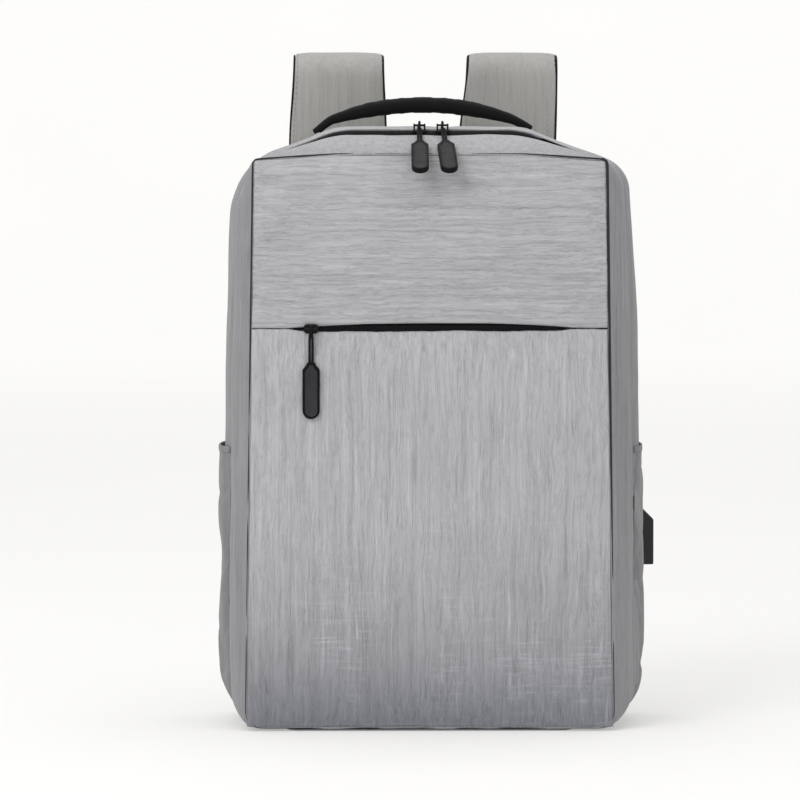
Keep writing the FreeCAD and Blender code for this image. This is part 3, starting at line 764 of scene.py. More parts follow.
def slit_half(x, fullness=2.4):
    """Half height of the zip slit, which closes to nothing at both ends."""
    middle = (SLIT_LEFT + SLIT_RIGHT) / 2.0
    reach = (SLIT_RIGHT - SLIT_LEFT) / 2.0
    share = np.clip(1 - np.abs((x - middle) / reach) ** fullness, 0, 1)
    return SLIT_HALF * share ** 0.7


def seam_height(x):
    """Height of the seam between the front panels, which bows up a little over the slit."""
    return SEAM_Z + SLIT_BOW * np.clip(1 - ((x - 12.0) / 100.0) ** 2, 0, 1)


def crown_z(station, x, inset):
    """Height of the top edge across the bag."""
    slope = station.drop / (station.top_half - CROWN_HALF)
    run = np.abs(x) - CROWN_HALF
    bend = 6.0
    fall = np.where(run < -bend, 0.0, np.where(run > bend, run, (run + bend) ** 2 / (4 * bend)))
    return station.crown_z - inset - fall * slope


def half_width(station, z, inset):
    """Half width of the bag between its corners, at a height."""
    taper = (z - station.base_z) / (station.crown_z - station.drop - station.base_z)
    return station.base_half + (station.top_half - station.base_half) * np.clip(taper, 0, 1) - inset


def front_panel(name, upper):
    """Upper or lower front panel, with its edges rolled into the seams."""
    station = FRONT_STATIONS[0]
    inset = 1.1
    edge = np.array([0.0, 0.35, 0.9, 1.7, 2.8])
    low = SEAM_Z if upper else station.base_z + inset
    high = station.crown_z - inset if upper else SEAM_Z
    across = spread(2 * station.top_half, PANEL_SPACING, edge) * 2 - 1
    up = spread(high - low, PANEL_SPACING, edge)
    grid_u, grid_v = np.meshgrid(across, up)
    radius = station.top_radius - inset
    bent_u, bent_v = corner_pull(grid_u, grid_v * 2 - 1, station.base_half, (high - low) / 2, radius)
    bent_v = (bent_v + 1) / 2
    corner = grid_v > 0.5 if upper else grid_v < 0.5
    grid_u = np.where(corner, bent_u, grid_u)
    grid_v = np.where(corner, bent_v, grid_v)
    half = half_width(station, low + (high - low) * grid_v, inset)
    x = grid_u * half
    if upper:
        bottom = seam_height(x) + 0.25 + slit_half(x)
        top = crown_z(station, x, inset)
    else:
        bottom = np.full_like(x, low)
        top = seam_height(x) - 0.25 - slit_half(x, LOWER_FULLNESS)
    z = bottom + (top - bottom) * grid_v
    distance = np.minimum(half - np.abs(x), np.minimum(z - bottom, top - z))
    near = np.clip(1 - distance / PANEL_ROLL, 0, 1)
    y = station.y + PANEL_ROLL * (1 - np.sqrt(1 - near ** 2)) - 0.5 * np.clip(distance / 6, 0, 1)
    obj = grid_object(name, np.stack([x, y, z], axis=2))
    pinned = np.nonzero((distance < 2.9).ravel())[0]
    settle(obj, pinned, pressure=1.6, cap=4.0, shrink=-0.006, stiffness=20)
    smoothed(obj)
    if upper:
        ripple(obj, 0.32, (60, 30, 6), 3.0)
        ripple(obj, 0.5, (70, 30, 24), 9.0)
    else:
        ripple(obj, 0.28, (6, 30, 55), 5.0)
        ripple(obj, 0.5, (30, 30, 90), 11.0)
    return obj


def piping(name, loop, y, radius_at):
    """Cord along a closed outline, with a radius that may vary: sewn piping round the back, and at the front
    a dark cord that paints the shade in the seam.
    """
    ring = resampled(np.concatenate([loop, loop[:1]]), 2.5)[:-1]
    angles = np.linspace(0, 2 * math.pi, 12, endpoint=False)
    rows = []
    for index, (x, z) in enumerate(ring):
        ahead = ring[(index + 1) % len(ring)] - ring[index - 1]
        ahead /= np.linalg.norm(ahead)
        out = np.array([ahead[1], 0.0, -ahead[0]])
        radius = radius_at(x, z)
        back = np.array([0, radius, 0])
        rows.append([(x, y, z) + out * radius * math.cos(a) + back * math.sin(a) for a in angles])
    return grid_object(name, np.array(rows), wrap_rows=True, wrap_columns=True)


def seam_shadow_radius(x, z):
    """Dark cord of painted shade in the front seam: wide at the sides and the upper corners, narrow along the
    bottom.
    """
    if z > FRONT_STATIONS[0].crown_z - 12 and abs(x) < 118:
        return 0.30 + 0.40 * float(np.clip((abs(x) - 62) / 26, 0, 1))
    share = float(np.clip((z - 20) / 240.0, 0, 1))
    return 0.32 + (0.62 if x > 0 else 0.30) * share


def make_front_shell():
    """Front gusset, the two front panels, and a dark cord round them that paints the shade in their seam."""
    station = FRONT_STATIONS[0]
    seam = piping("front_seam_shadow", body_loop(station, 0.55), station.y + 0.55, seam_shadow_radius)
    dress(seam, "seam", "front_shell", "front_fabric")
    make_gusset("front_gusset", FRONT_STATIONS, (-64.9, -40.4), 10, 1.0, "front_shell", 1.0)
    for upper in (True, False):
        part = "upper" if upper else "lower"
        obj = front_panel("front_%s_fabric" % part, upper)
        obj.data.materials.append(MATERIALS["front_" + part])
        thicken(obj, 1.4, MATERIALS["lining"])
        dress(obj, "front_" + part, "front_shell", "front_fabric", "front_%s_panel" % part)


def make_rear_shell():
    """Rear gusset."""
    make_gusset("rear_gusset", REAR_STATIONS, (-33.8, 55.6), 30, 0.35, "root", 2.0)


def divider_grid(station, inset, y, low, high):
    """Grid of points that fills the outline at one depth, between two heights."""
    edge = np.array([0.0, 0.5, 1.4])
    across = spread(2 * station.top_half, 4.0, edge) * 2 - 1
    up = spread(high - low, 4.0, edge) * 2 - 1
    grid_u, grid_v = corner_pull(*np.meshgrid(across, up), station.base_half, (high - low) / 2,
                                 station.base_radius - inset)
    z = low + (high - low) * (grid_v + 1) / 2
    return np.stack([grid_u * half_width(station, z, inset), np.full_like(z, y), z], axis=2)


def filled_loop(station, inset, y, rings=26):
    """Rings of points that fill the whole outline at one depth."""
    loop = body_loop(station, inset)
    centre = np.array([0.0, 200.0])
    shares = np.concatenate([[1.0, 0.996, 0.988], np.linspace(0.97, 0.03, rings)])
    return np.array([standing(centre + (loop - centre) * share, y) for share in shares])


CAMERA_TARGET = Vector((-20.7, -65.0, 229.8)) * MM
CAMERA_DISTANCE = 3.8
CAMERA_AZIMUTH = math.radians(-0.5)
CAMERA_ELEVATION = math.radians(3.4)
SENSOR_WIDTH = 36.0
VIEW_WIDTH = 0.552


def make_camera():
    """Long lens from the front, a little above and to the left."""
    level = math.cos(CAMERA_ELEVATION)
    offset = Vector((math.sin(CAMERA_AZIMUTH) * level, -math.cos(CAMERA_AZIMUTH) * level,
                     math.sin(CAMERA_ELEVATION)))
    data = bpy.data.cameras.new("camera")
    data.sensor_width = SENSOR_WIDTH
    data.lens = SENSOR_WIDTH * CAMERA_DISTANCE / VIEW_WIDTH
    camera = bpy.data.objects.new("camera", data)
    camera.location = CAMERA_TARGET + offset * CAMERA_DISTANCE
    camera.rotation_euler = (-offset).to_track_quat("-Z", "Y").to_euler()
    SCENE.collection.objects.link(camera)
    SCENE.camera = camera


FLOOR_BACK_Y = 5.0
FLOOR_BEND = 1.2
WALL_Y = FLOOR_BACK_Y + FLOOR_BEND
STUDIO_GLOW = [(1.0, 0.345), (2.5, 0.39), (3.9, 0.44), (5.0, 0.475), (6.2, 0.52)]
AREA_LIGHTS = [
    ("key", (-1.6, -2.4, 2.4), 1.8, 50.0),
    ("fill", (2.2, -2.2, 1.4), 2.2, 4.0),
    ("top", (0.0, 0.3, 2.8), 2.0, 18.0),
]


def make_floor():
    """Pale floor, in metres, that curves up behind the bag and glows a little more there."""
    profile = [(-6.0, 0.0), (FLOOR_BACK_Y, 0.0)]
    for step in range(1, 13):
        angle = math.radians(90.0 * step / 12)
        profile.append((FLOOR_BACK_Y + FLOOR_BEND * math.sin(angle), FLOOR_BEND * (1 - math.cos(angle))))
    profile.append((WALL_Y, 6.0))
    grid = np.array([[(x, y, z) for x in (-7.0, 7.0)] for y, z in profile])
    floor = grid_object("studio_floor", grid / MM, flip=True)
    material, net, shader = new_material("studio_white")
    cloud = noise_node(net, (3, 3, 3), 2)
    tint = ramp_node(net, cloud, [(0.3, (0.51, 0.508, 0.503)), (0.7, (0.52, 0.518, 0.512))])
    glow = ramp_node(net, axis_share(net, "Y", WALL_Y), [(y / WALL_Y, level) for y, level in STUDIO_GLOW])
    net.links.new(tint, shader.inputs["Base Color"])
    net.links.new(glow, shader.inputs["Emission Strength"])
    set_inputs(shader, Emission_Color=(1.0, 0.995, 0.98, 1.0), Roughness=0.9)
    floor.data.materials.append(material)


def make_lights():
    """Bright surround and three soft lights that look at the middle of the bag."""
    world = bpy.data.worlds.new("world")
    world.use_nodes = True
    set_inputs(world.node_tree.nodes["Background"], Color=(1.0, 0.995, 0.985, 1.0), Strength=0.80)
    SCENE.world = world
    for name, place, size, power in AREA_LIGHTS:
        data = bpy.data.lights.new(name, "AREA")
        data.size = size
        data.energy = power
        light = bpy.data.objects.new(name, data)
        light.location = place
        aim = Vector((0, 0, 0.22)) - Vector(place)
        light.rotation_euler = aim.to_track_quat("-Z", "Y").to_euler()
        SCENE.collection.objects.link(light)
    SCENE.view_settings.view_transform = "Standard"


# ---------------------------------------------------------------------------------------------
# Zips.

def resampled(points, spacing, count=None):
    """Points evenly spaced along a polyline."""
    points = np.asarray(points, float)
    steps = np.linalg.norm(np.diff(points, axis=0), axis=1)
    along = np.concatenate([[0.0], np.cumsum(steps)])
    count = count or max(int(round(along[-1] / spacing)), 2)
    places = np.linspace(0.0, along[-1], count + 1)
    return np.stack([np.interp(places, along, points[:, k]) for k in range(points.shape[1])], axis=1)


ZIP_FOOT_Z = 20.0
SHOULDER_SINK = 2.4


def zip_path(y, inset, count):
    """Line at one depth between the two shells: up one side, over the top and down the other."""
    front = FRONT_STATIONS[-1]
    rear = REAR_STATIONS[0]
    share = (y - front.y) / (rear.y - front.y)
    station = Station(*[a + (b - a) * share for a, b in zip(front, rear)])
    loop = body_loop(station, inset)
    start = int(np.argmin(np.abs(loop[:, 0]) + 1000 * (loop[:, 1] > 100)))
    loop = np.roll(loop, -start, axis=0)
    path = resampled(loop[loop[:, 1] > ZIP_FOOT_Z], 1.0, count)
    path[:, 1] -= SHOULDER_SINK * eased(np.abs(path[:, 0]), 68, 84) * eased(path[:, 1], 376, 398)
    return standing(path, y)


BEAD_RING = [(0.0, -1.0), (0.75, -0.7), (1.0, 0.0), (0.75, 0.7), (0.0, 1.0), (-0.75, 0.7), (-1.0, 0.0),
             (-0.75, -0.7)]
BEAD_PROFILE = [(-1.0, 0.55), (-0.6, 1.0), (0.6, 1.0), (1.0, 0.55)]


def beads(name, centres, ahead, across, sizes, shift):
    """Row of small rounded coil turns, as one mesh, shifted across the zip."""
    points = []
    faces = []
    for centre, forward, side in zip(centres, ahead, across):
        out = np.cross(forward, side)
        rings = []
        for place, share in BEAD_PROFILE:
            middle = centre + side * (place * sizes[0] + shift)
            rings.append([middle + forward * a * sizes[1] * share + out * b * sizes[2] * share
                          for a, b in BEAD_RING])
        add_tube(points, faces, rings)
    return add_object(name, points, faces)


TAPE_ROWS = [(3.8, 3.0), (2.9, 1.2), (2.0, 0.8), (1.1, 0.6), (0.35, 0.6)]


def make_main_zip():
    """Both halves of the main zip: woven tape and a coil of interlocking turns."""
    turns = 700
    front_line = zip_path(-40.0, 0.4, turns)
    rear_line = zip_path(-34.0, 0.4, turns)
    middle = (front_line + rear_line) / 2.0
    ahead = np.gradient(middle, axis=0)
    ahead /= np.linalg.norm(ahead, axis=1)[:, None]
    across = rear_line - front_line
    across /= np.linalg.norm(across, axis=1)[:, None]
    for side, body in ((-1, "front_shell"), (1, "root")):
        half = "front" if side < 0 else "rear"
        rows = [zip_path(ZIP_Y + side * reach, inset, 300) for reach, inset in TAPE_ROWS]
        tape = grid_object("main_zip_%s_band" % half, np.array(rows), flip=side < 0)
        thicken(tape, 0.6)
        dress(tape, "tape", body, "zip_tape", "main_zip_%s_tape" % half)
        pitch = float(np.linalg.norm(middle[1] - middle[0]))
        centres = middle + ahead * (pitch / 4.0) * side
        sizes = (1.0, pitch * 0.24, 0.5)
        coil = beads("main_zip_%s_turns" % half, centres, ahead, across, sizes, side * 0.95)
        dress(coil, "coil", body, "zip_coil", "main_zip_%s_coil" % half)


def make_front_zip():
    """Tape and coil behind the slit of the front pocket."""
    y = FRONT_STATIONS[0].y
    xs = np.linspace(SLIT_LEFT - 6, SLIT_RIGHT + 6, 60)
    zs = np.linspace(-11, 11, 12)
    grid = np.array([[(x, y + 3.4 - 0.5 * math.exp(-(z / 4.0) ** 2), SEAM_Z + z) for z in zs] for x in xs])
    tape = grid_object("front_zip_band", grid, flip=True)
    ripple(tape, 0.1, (14, 14, 5), 2.0)
    thicken(tape, 0.6)
    dress(tape, "tape", "front_shell", "zip_tape", "front_zip_tape")
    pitch = 1.5
    rows = []
    for side in (-1, 1):
        centres = [np.array([x + side * pitch / 4.0, y + 2.0, SEAM_Z])
                   for x in np.arange(SLIT_LEFT + 3, SLIT_RIGHT - 3, pitch)]
        ahead = np.tile([1.0, 0.0, 0.0], (len(centres), 1))
        across = np.tile([0.0, 0.0, 1.0], (len(centres), 1))
        rows.append(beads("front_zip_row_%d" % side, centres, ahead, across, (1.0, 0.34, 0.5), side * 0.95))
    for x in (SLIT_LEFT + 1.0, SLIT_RIGHT - 2.0):
        path = [(x, y + 1.8, SEAM_Z + z) for z in np.linspace(-2.1, 2.1, 8)]
        rows.append(sweep("front_zip_stop_%d" % int(x), path, superellipse(1.2, 0.7, 4, 12), (0, -1, 0)))
    dress(joined("front_zip_turns", rows), "coil", "front_shell", "zip_coil", "front_zip_coil")


# ---------------------------------------------------------------------------------------------
# Pulls.

NECK_LENGTH = 23.0
CORD_DIAMETER = 1.8
CORD_SIDE = [
    (1.0, 0.0, -NECK_LENGTH),
    (1.0, 0.1, -14.2),
    (1.0, 0.1, -5.0),
    (0.0, 2.0, -1.0),
    (0.0, 2.0, 1.9),
]
CORD_ROUTE = CORD_SIDE + [(-x, -y, z) for x, y, z in reversed(CORD_SIDE)]


def hung(point, bar, slope, tilt):
    """Place of a point of a pull that hangs from a bar at a slope below the horizontal."""
    hang = math.radians(-(90.0 - slope))
    swing = math.radians(-tilt)
    x, y, z = point
    x, z = x * math.cos(swing) + z * math.sin(swing), -x * math.sin(swing) + z * math.cos(swing)
    y, z = y * math.cos(hang) - z * math.sin(hang), y * math.sin(hang) + z * math.cos(hang)
    return Vector((x, y, z)) + Vector(bar)


def make_pull_cord(name, body, bar, slope, tilt):
    """Cord loop from a grip, round the slider's bar and back into the grip."""
    points = [hung(point, bar, slope, tilt) * MM for point in CORD_ROUTE]
    data = bpy.data.curves.new(name, "CURVE")
    data.dimensions = "3D"
    data.resolution_u = 10
    data.bevel_depth = CORD_DIAMETER / 2 * MM
    data.bevel_resolution = 4
    spline = data.splines.new("NURBS")
    spline.points.add(len(points) - 1)
    for point, place in zip(spline.points, points):
        point.co = (*place, 1.0)
    spline.order_u = 3
    spline.use_endpoint_u = True
    cord = bpy.data.objects.new(name, data)
    SCENE.collection.objects.link(cord)
    dress(cord, "cord", body, "pull_cord", name)
    cord.name = name + "_braid"


GRIP_HALF = 6.0
GRIP_LENGTH = 39.0
GRIP_ROWS = [(-1.5, 2.3), (-1.55, 2.1), (-1.95, 1.75), (-2.0, 1.5), (-2.0, 0.85), (-1.8, 0.3), (-1.3, 0.03),
             (0.0, 0.0), (1.3, 0.03), (1.8, 0.3), (2.0, 0.85), (2.0, 1.6)]


def grip_loop(inset):
    """Outline of a grip with a shouldered neck, moved inwards by the inset."""
    half = GRIP_HALF - inset
    neck = 2.9 - inset * 0.75
    top = -NECK_LENGTH - inset
    bottom = -NECK_LENGTH - GRIP_LENGTH + inset
    corners = [(-neck, top, 0.6), (neck, top, 0.6), (neck + 0.2, top - 1.4, 0.7), (half, top - 4.8, 1.8),
               (half, bottom, half - 0.1), (-half, bottom, half - 0.1), (-half, top - 4.8, 1.8),
               (-neck - 0.2, top - 1.4, 0.7)]
    return rounded_loop(corners, 7, [4, 2, 3, 26, 2, 26, 3, 2])


def make_grip(name, body, bar, slope, tilt):
    """Moulded grip with a raised rim round a sunk face."""
    rows = []
    for y, inset in GRIP_ROWS:
        loop = grip_loop(inset)
        rows.append(standing(loop, y))
    grip = grid_object(name.replace("pull_grip", "grip"), np.array(rows), wrap_columns=True, caps=True)
    grip.data.materials.append(MATERIALS["rubber"])
    # The main pulls' grip faces take the darker copy of the face rubber: painted shade.
    grip.data.materials.append(MATERIALS["rubber_face" if "front" in name else "rubber_face_shaded"])
    for face in grip.data.polygons:
        if -1.9 * MM < face.center.y < -1.4 * MM and abs(face.normal.y) > 0.5:
            face.material_index = 1
    places = [hung(point, bar, slope, tilt) for point in coordinates(grip) / MM]
    set_coordinates(grip, np.array(places) * MM)
    dress(grip, "rubber", body, "pull_rubber", name)


def make_pulls():
    """The three cord loops and their grips; the sliders are the frame's own."""
    bar_z = 418.9
    for name, bar, slope, tilt in (("main_left", (-7.0, ZIP_Y, bar_z), 30.0, 0.0),
                                   ("main_right", (9.0, ZIP_Y, bar_z), 30.0, 4.0),
                                   ("front", (-82.0, -70.3, SEAM_Z), 90.0, 0.0)):
        body = name.replace("main", "main_pull") if "main" in name else "front_pull"
        make_pull_cord("pull_cord_" + name, body, bar, slope, tilt)
        make_grip("pull_grip_" + name, body, bar, slope, tilt)


HARD_NODES = {
    "port_housing": "port",
    "port_clamp_plate": "plastic",
    "port_screws": "steel",
    "usb_socket_shell": "steel",
    "usb_socket_tongue": "tongue",
    "usb_lead": "lead",
    "usb_plug": "plastic",
    "lead_clips": "board",
    "base_board": "board",
    "back_board": "board",
}


def repaint(node, material):
    """Procedural material on a node of the frame."""
    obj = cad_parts[node]
    for slot in obj.material_slots:
        slot.material = MATERIALS[material]


def repaint_frame():
    """Every hard part that stays as it is."""
    for name in ("main_left", "main_right", "front"):
        repaint("slider_" + name, "metal")
    for side in ("left", "right"):
        repaint("adjuster_" + side, "plastic")
    for node, material in HARD_NODES.items():
        repaint(node, material)


# ---------------------------------------------------------------------------------------------
# Stitching.

STITCH_PROFILE = [(0.0, -0.25, 0.5), (0.2, 0.1, 1.0), (0.8, 0.1, 1.0), (1.0, -0.25, 0.5)]
STITCH_ANGLES = [math.pi * k / 3.0 for k in range(6)]


def stitches(name, path, out, length=2.6, gap=1.5, thick=0.32):
    """Row of thread stitches lying on a surface that faces out."""
    path = resampled(path, length + gap)
    outs = np.atleast_2d(np.asarray(out, float))
    points = []
    faces = []
    for index in range(len(path) - 1):
        start = path[index]
        ahead = path[index + 1] - start
        ahead /= np.linalg.norm(ahead)
        normal = outs[int(index / (len(path) - 1) * (len(outs) - 1))]
        side = np.cross(normal, ahead)
        side /= np.linalg.norm(side)
        rings = []
        for place, height, share in STITCH_PROFILE:
            middle = start + ahead * place * length + normal * height
            radius = thick * share
            rings.append([middle + side * math.cos(angle) * radius + normal * math.sin(angle) * radius
                          for angle in STITCH_ANGLES])
        add_tube(points, faces, rings)
    return add_object(name, points, faces)


# ---------------------------------------------------------------------------------------------
# Side pockets.

POCKET_TOP_Z = 193.0
POCKET_HALF_DEPTH = 28.5


def pocket_column(side, y):
    """One upright line of a side pocket, from under the bag's corner to the mouth."""
    share = min(abs(y) / POCKET_HALF_DEPTH, 1.0)
    stand_off = -0.4 + (3.9 if side < 0 else 2.2) * math.sqrt(1 - share ** 4)
    station = station_at(REAR_STATIONS, y)
    station = station._replace(base_half=station.base_half + stand_off, top_half=station.top_half + stand_off,
                               base_z=station.base_z + 1.0)
    loop = body_loop(station) * [side, 1.0]
    outer = loop[:, 0] > station.base_half - station.base_radius * 0.6
    right = loop[outer & (loop[:, 1] < POCKET_TOP_Z + 3)]
    right = right[np.argsort(right[:, 1])]
    top = np.array([[np.interp(POCKET_TOP_Z, right[:, 1], right[:, 0]), POCKET_TOP_Z]])
    right = np.concatenate([right[right[:, 1] < POCKET_TOP_Z - 0.5], top])
    return resampled(right, PANEL_SPACING)


def make_side_pocket(side):
    """Gusseted pocket with a gathered, elastic mouth."""
    name = "left" if side < 0 else "right"
    depths = [POCKET_HALF_DEPTH * math.sin(math.radians(a)) for a in np.linspace(-90, 90, 29)]
    columns = [pocket_column(side, y) for y in depths]
    count = max(len(column) for column in columns)
    grid = []
    for y, column in zip(depths, columns):
        steps = np.linspace(0, 1, count)
        own = np.linspace(0, 1, len(column))
        x = np.interp(steps, own, column[:, 0])
        z = np.interp(steps, own, column[:, 1])
        gather = np.clip((z - 150) / 49.0, 0, 1) ** 2
        wave = 0.45 * np.sin(y * 1.15 + 0.6 * side) + 0.3 * np.sin(y * 2.3 + 1.0)
        x = x + gather * wave * (1 - (abs(y) / POCKET_HALF_DEPTH) ** 4)
        grid.append(np.stack([side * x, np.full(count, y), z], axis=1))
    grid = np.array(grid)
    obj = grid_object("side_pocket_%s_fabric" % name, grid, flip=side > 0)
    rows = len(depths)
    edge = [i * count + j for i in range(rows) for j in range(count)
            if i in (0, rows - 1) or j < 2 or j == count - 1]
    settle(obj, edge, pressure=0.8, cap=2.0, shrink=-0.012, stiffness=16)
    smoothed(obj)
    ripple(obj, 0.35, (30, 12, 45), 4.0 + side)
    obj.data.materials.append(MATERIALS["pocket"])
    thicken(obj, 0.9, MATERIALS["lining"])
    dress(obj, "pocket", "root", "pocket_fabric", "side_pocket_" + name)
    mouth = grid[:, -1, :]
    return sweep("side_pocket_%s_hem" % name, resampled(mouth, 1.6),
                 lambda index: superellipse(2.4, 0.7 + 0.1 * math.sin(index * 1.9), 3, 14), (side, 0, 0))


def make_side_pockets():
    """Both pockets, with their hems as one piece."""
    hems = [make_side_pocket(side) for side in (-1, 1)]
    dress(joined("side_pocket_hems", hems), "pocket", "root", "pocket_fabric", "pocket_hems")


# ---------------------------------------------------------------------------------------------
# Handle.

HANDLE_X = -4.0
HANDLE_Y = 18.0
HANDLE_END = 76.5


def top_of_bag(x, y):
    """Height of the rear gusset's top."""
    return float(crown_z(station_at(REAR_STATIONS, y), np.array(x), 0.0))


def make_handle():
    """Padded arch whose flat ends are sewn to the top of the bag."""
    path = []
    for x in np.linspace(-HANDLE_END, HANDLE_END, 110):
        arch = 432.6 - 9.0 * (abs(x) / 59.5) ** 2
        flat = top_of_bag(HANDLE_X + x, HANDLE_Y) + 3.0
        weight = float(eased(abs(x), 62, 80))
        path.append((HANDLE_X + x, HANDLE_Y, arch * (1 - weight) + flat * weight))
    path = np.array(path)

    def section(index):
        x = abs(path[index][0] - HANDLE_X)
        thin = float(eased(x, 26, HANDLE_END + 6))
        dent = 0.16 * math.sin(x * 0.55) + 0.1 * math.sin(x * 1.3 + 1.0)
        return superellipse(10.4 - 1.4 * thin, 5.5 - 3.0 * thin + dent * (1 - thin), 2.5 + 1.5 * thin, 28)

    obj = sweep("handle_padding", path, section, (0, 0, 1))
    ripple(obj, 0.22, (9, 7, 9), 6.0)
    smoothed(obj)
    dress(obj, "handle", None, "handle_padding", "handle_core", "handle_grip")
    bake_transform(obj)


def make_handle_patches():
    """Stitched patch over each end of the handle, in the gusset fabric made as bright as the painted light on
    the bag's top.
    """
    parts = []
    for side in (-1, 1):
        line = []
        for reach in np.linspace(72, 93, 12):
            x = HANDLE_X + side * reach
            step = 1.6 * float(eased(HANDLE_END + 2 - abs(x - HANDLE_X), 0, 4))
            line.append((x, HANDLE_Y, top_of_bag(x, HANDLE_Y) + 0.55 + step))
        parts.append(sweep("handle_patch_%d" % side, line, superellipse(11.0, 0.55), (0, 0, 1)))
        rows = [[(x, HANDLE_Y + across, z + 0.6) for x, _, z in line[1:-1]] for across in (-8.6, 8.6)]
        for x, _, z in (line[1], line[-2]):
            rows.append([(x, HANDLE_Y + across, z + 0.6) for across in (-8.6, 8.6)])
        for index, row in enumerate(rows):
            parts.append(stitches("handle_row_%d_%d" % (side, index), row, (0, 0, 1), 1.9, 1.0, 0.25))
    dress(joined("handle_patches", parts), "top_lit_fabric", "root", "shell_fabric", "handle_anchors")


# ---------------------------------------------------------------------------------------------
# Shoulder straps.

STRAP_X = 60.0
STRAP_SHIFT = -3.7
STRAP_HALF = 34.0
STRAP_FRONT_Y = 59.0
STRAP_ROOT_Z = 398.0
STRAP_TOP_Z = 470.0
STRAP_LOOP_RADIUS = 11.5
STRAP_END_Y = 80.0
STRAP_END_Z = 150.0
STRAP_HALF_THICK = 4.5
ADJUSTER_BAR_Z = 141.0


def strap_line():
    """Centre line of a strap in the YZ plane."""
    front = STRAP_FRONT_Y + STRAP_HALF_THICK
    rear = front + 2 * STRAP_LOOP_RADIUS
    bend_z = STRAP_TOP_Z - STRAP_HALF_THICK - STRAP_LOOP_RADIUS
    points = [(front, z) for z in np.linspace(STRAP_ROOT_Z, bend_z, 12)]
    for step in range(1, 16):
        angle = math.radians(180.0 * step / 16)
        points.append((front + STRAP_LOOP_RADIUS * (1 - math.cos(angle)),
                       bend_z + STRAP_LOOP_RADIUS * math.sin(angle)))
    for z in np.linspace(bend_z, STRAP_END_Z, 70):
        lean = (rear - STRAP_END_Y) * float(eased(300.0 - z, 0, 150))
        points.append((rear - lean, z))
    line = resampled(points, 3.6)
    return np.stack([np.zeros(len(line)), line[:, 0], line[:, 1]], axis=1)


def strap_half(z, rear):
    """Half width of a strap: full at the bag, a little less over the top, narrow at the buckle."""
    if not rear:
        return STRAP_HALF + 0.9 - 2.6 * float(eased(z, 404, 466))
    return STRAP_HALF - 1.7 + 1.2 * float(eased(460 - z, 0, 90)) - 16.5 * float(eased(300 - z, 80, 150))


def strap_lean(z, side):
    """Sideways drift of a strap's centre line; the right one leans out over its top."""
    return (4.0 if side > 0 else 0.6) * float(eased(z, 392, 468))


def make_strap(name, side):
    """Padded strap with a mesh face, bound edges, stitching and its buckle loop."""
    body = "strap_" + name
    line = strap_line()
    out = square_to(line)
    bend = STRAP_FRONT_Y + STRAP_HALF_THICK + STRAP_LOOP_RADIUS
    halves = [strap_half(z, y > bend) for _, y, z in line]
    line = line + [[side * STRAP_X + STRAP_SHIFT + strap_lean(z, side), 0, 0] for _, _, z in line]

    pad = sweep("strap_fabric_" + name, line,
                lambda index: superellipse(halves[index] - 1.3, 2.55, 3.4, 44, 1.95), out)
    ripple(pad, 0.35, (16, 30, 38), 7.0 + side)
    smoothed(pad, applied=False)
    dress(pad, "strap", body, "strap_fabric", "strap_pad_" + name)
    face = sweep("strap_face_" + name, line,
                 lambda index: superellipse(halves[index] - 1.6, 2.2, 3.0, 44, -2.3), out)
    ripple(face, 0.25, (20, 30, 30), 2.0 + side)
    smoothed(face, applied=False)
    dress(face, "mesh", body, "back_mesh", "strap_mesh_" + name)
    parts = []
    threads = []
    for edge in (-1, 1):
        reach = 2.6 if edge == -side or side > 0 else 0.7
        offset = np.array([[edge * (half - reach), 0, 0] for half in halves])
        parts.append(sweep("strap_edge_%s_%d" % (name, edge), line + offset,
                           superellipse(reach, 2.75, 2.6, 16, 0.1), out))
        row = line + offset + np.array([-edge * (reach + 1.6), 0, 0]) + out * 3.85
        threads.append(stitches("strap_row_%s_%d" % (name, edge), row, out, 2.4, 1.4, 0.2))
    dress(joined("strap_thread_" + name, threads), "strap", body, "strap_fabric")
    end = line[-1]
    parts.append(sweep("strap_tip_" + name, [end + [0, 0, 4.0], end + [0, 0, 1.5], end + [0, 0, -0.6]],
                       superellipse(15.5, 3.3, 4, 24), (0, 1, 0)))
    dress(joined("strap_binding_tape_" + name, parts), "webbing", body, "webbing", "strap_binding_" + name)
    make_buckle_loop(name, body, end[0])


def make_buckle_loop(name, body, x):
    """Webbing that runs out of a strap, round the adjuster's bar and back into the strap."""
    sides = [(x, STRAP_END_Y - 0.9, STRAP_END_Z), (x, STRAP_END_Y - 1.5, ADJUSTER_BAR_Z + 5.2),
             (x, STRAP_END_Y + 1.5, ADJUSTER_BAR_Z + 5.2), (x, STRAP_END_Y + 0.9, STRAP_END_Z)]
    turn = []
    for step in range(9):
        angle = math.radians(150 + 240.0 * step / 8)
        turn.append((x, STRAP_END_Y + 3.0 * math.cos(angle), ADJUSTER_BAR_Z + 3.0 * math.sin(angle)))
    path = np.array(sides[:2] + turn + sides[2:])
    loop = sweep("buckle_webbing_" + name, path, superellipse(12.5, 0.6), square_to(path))
    smoothed(loop, applied=False)
    dress(loop, "webbing", body, "webbing", "buckle_loop_" + name)


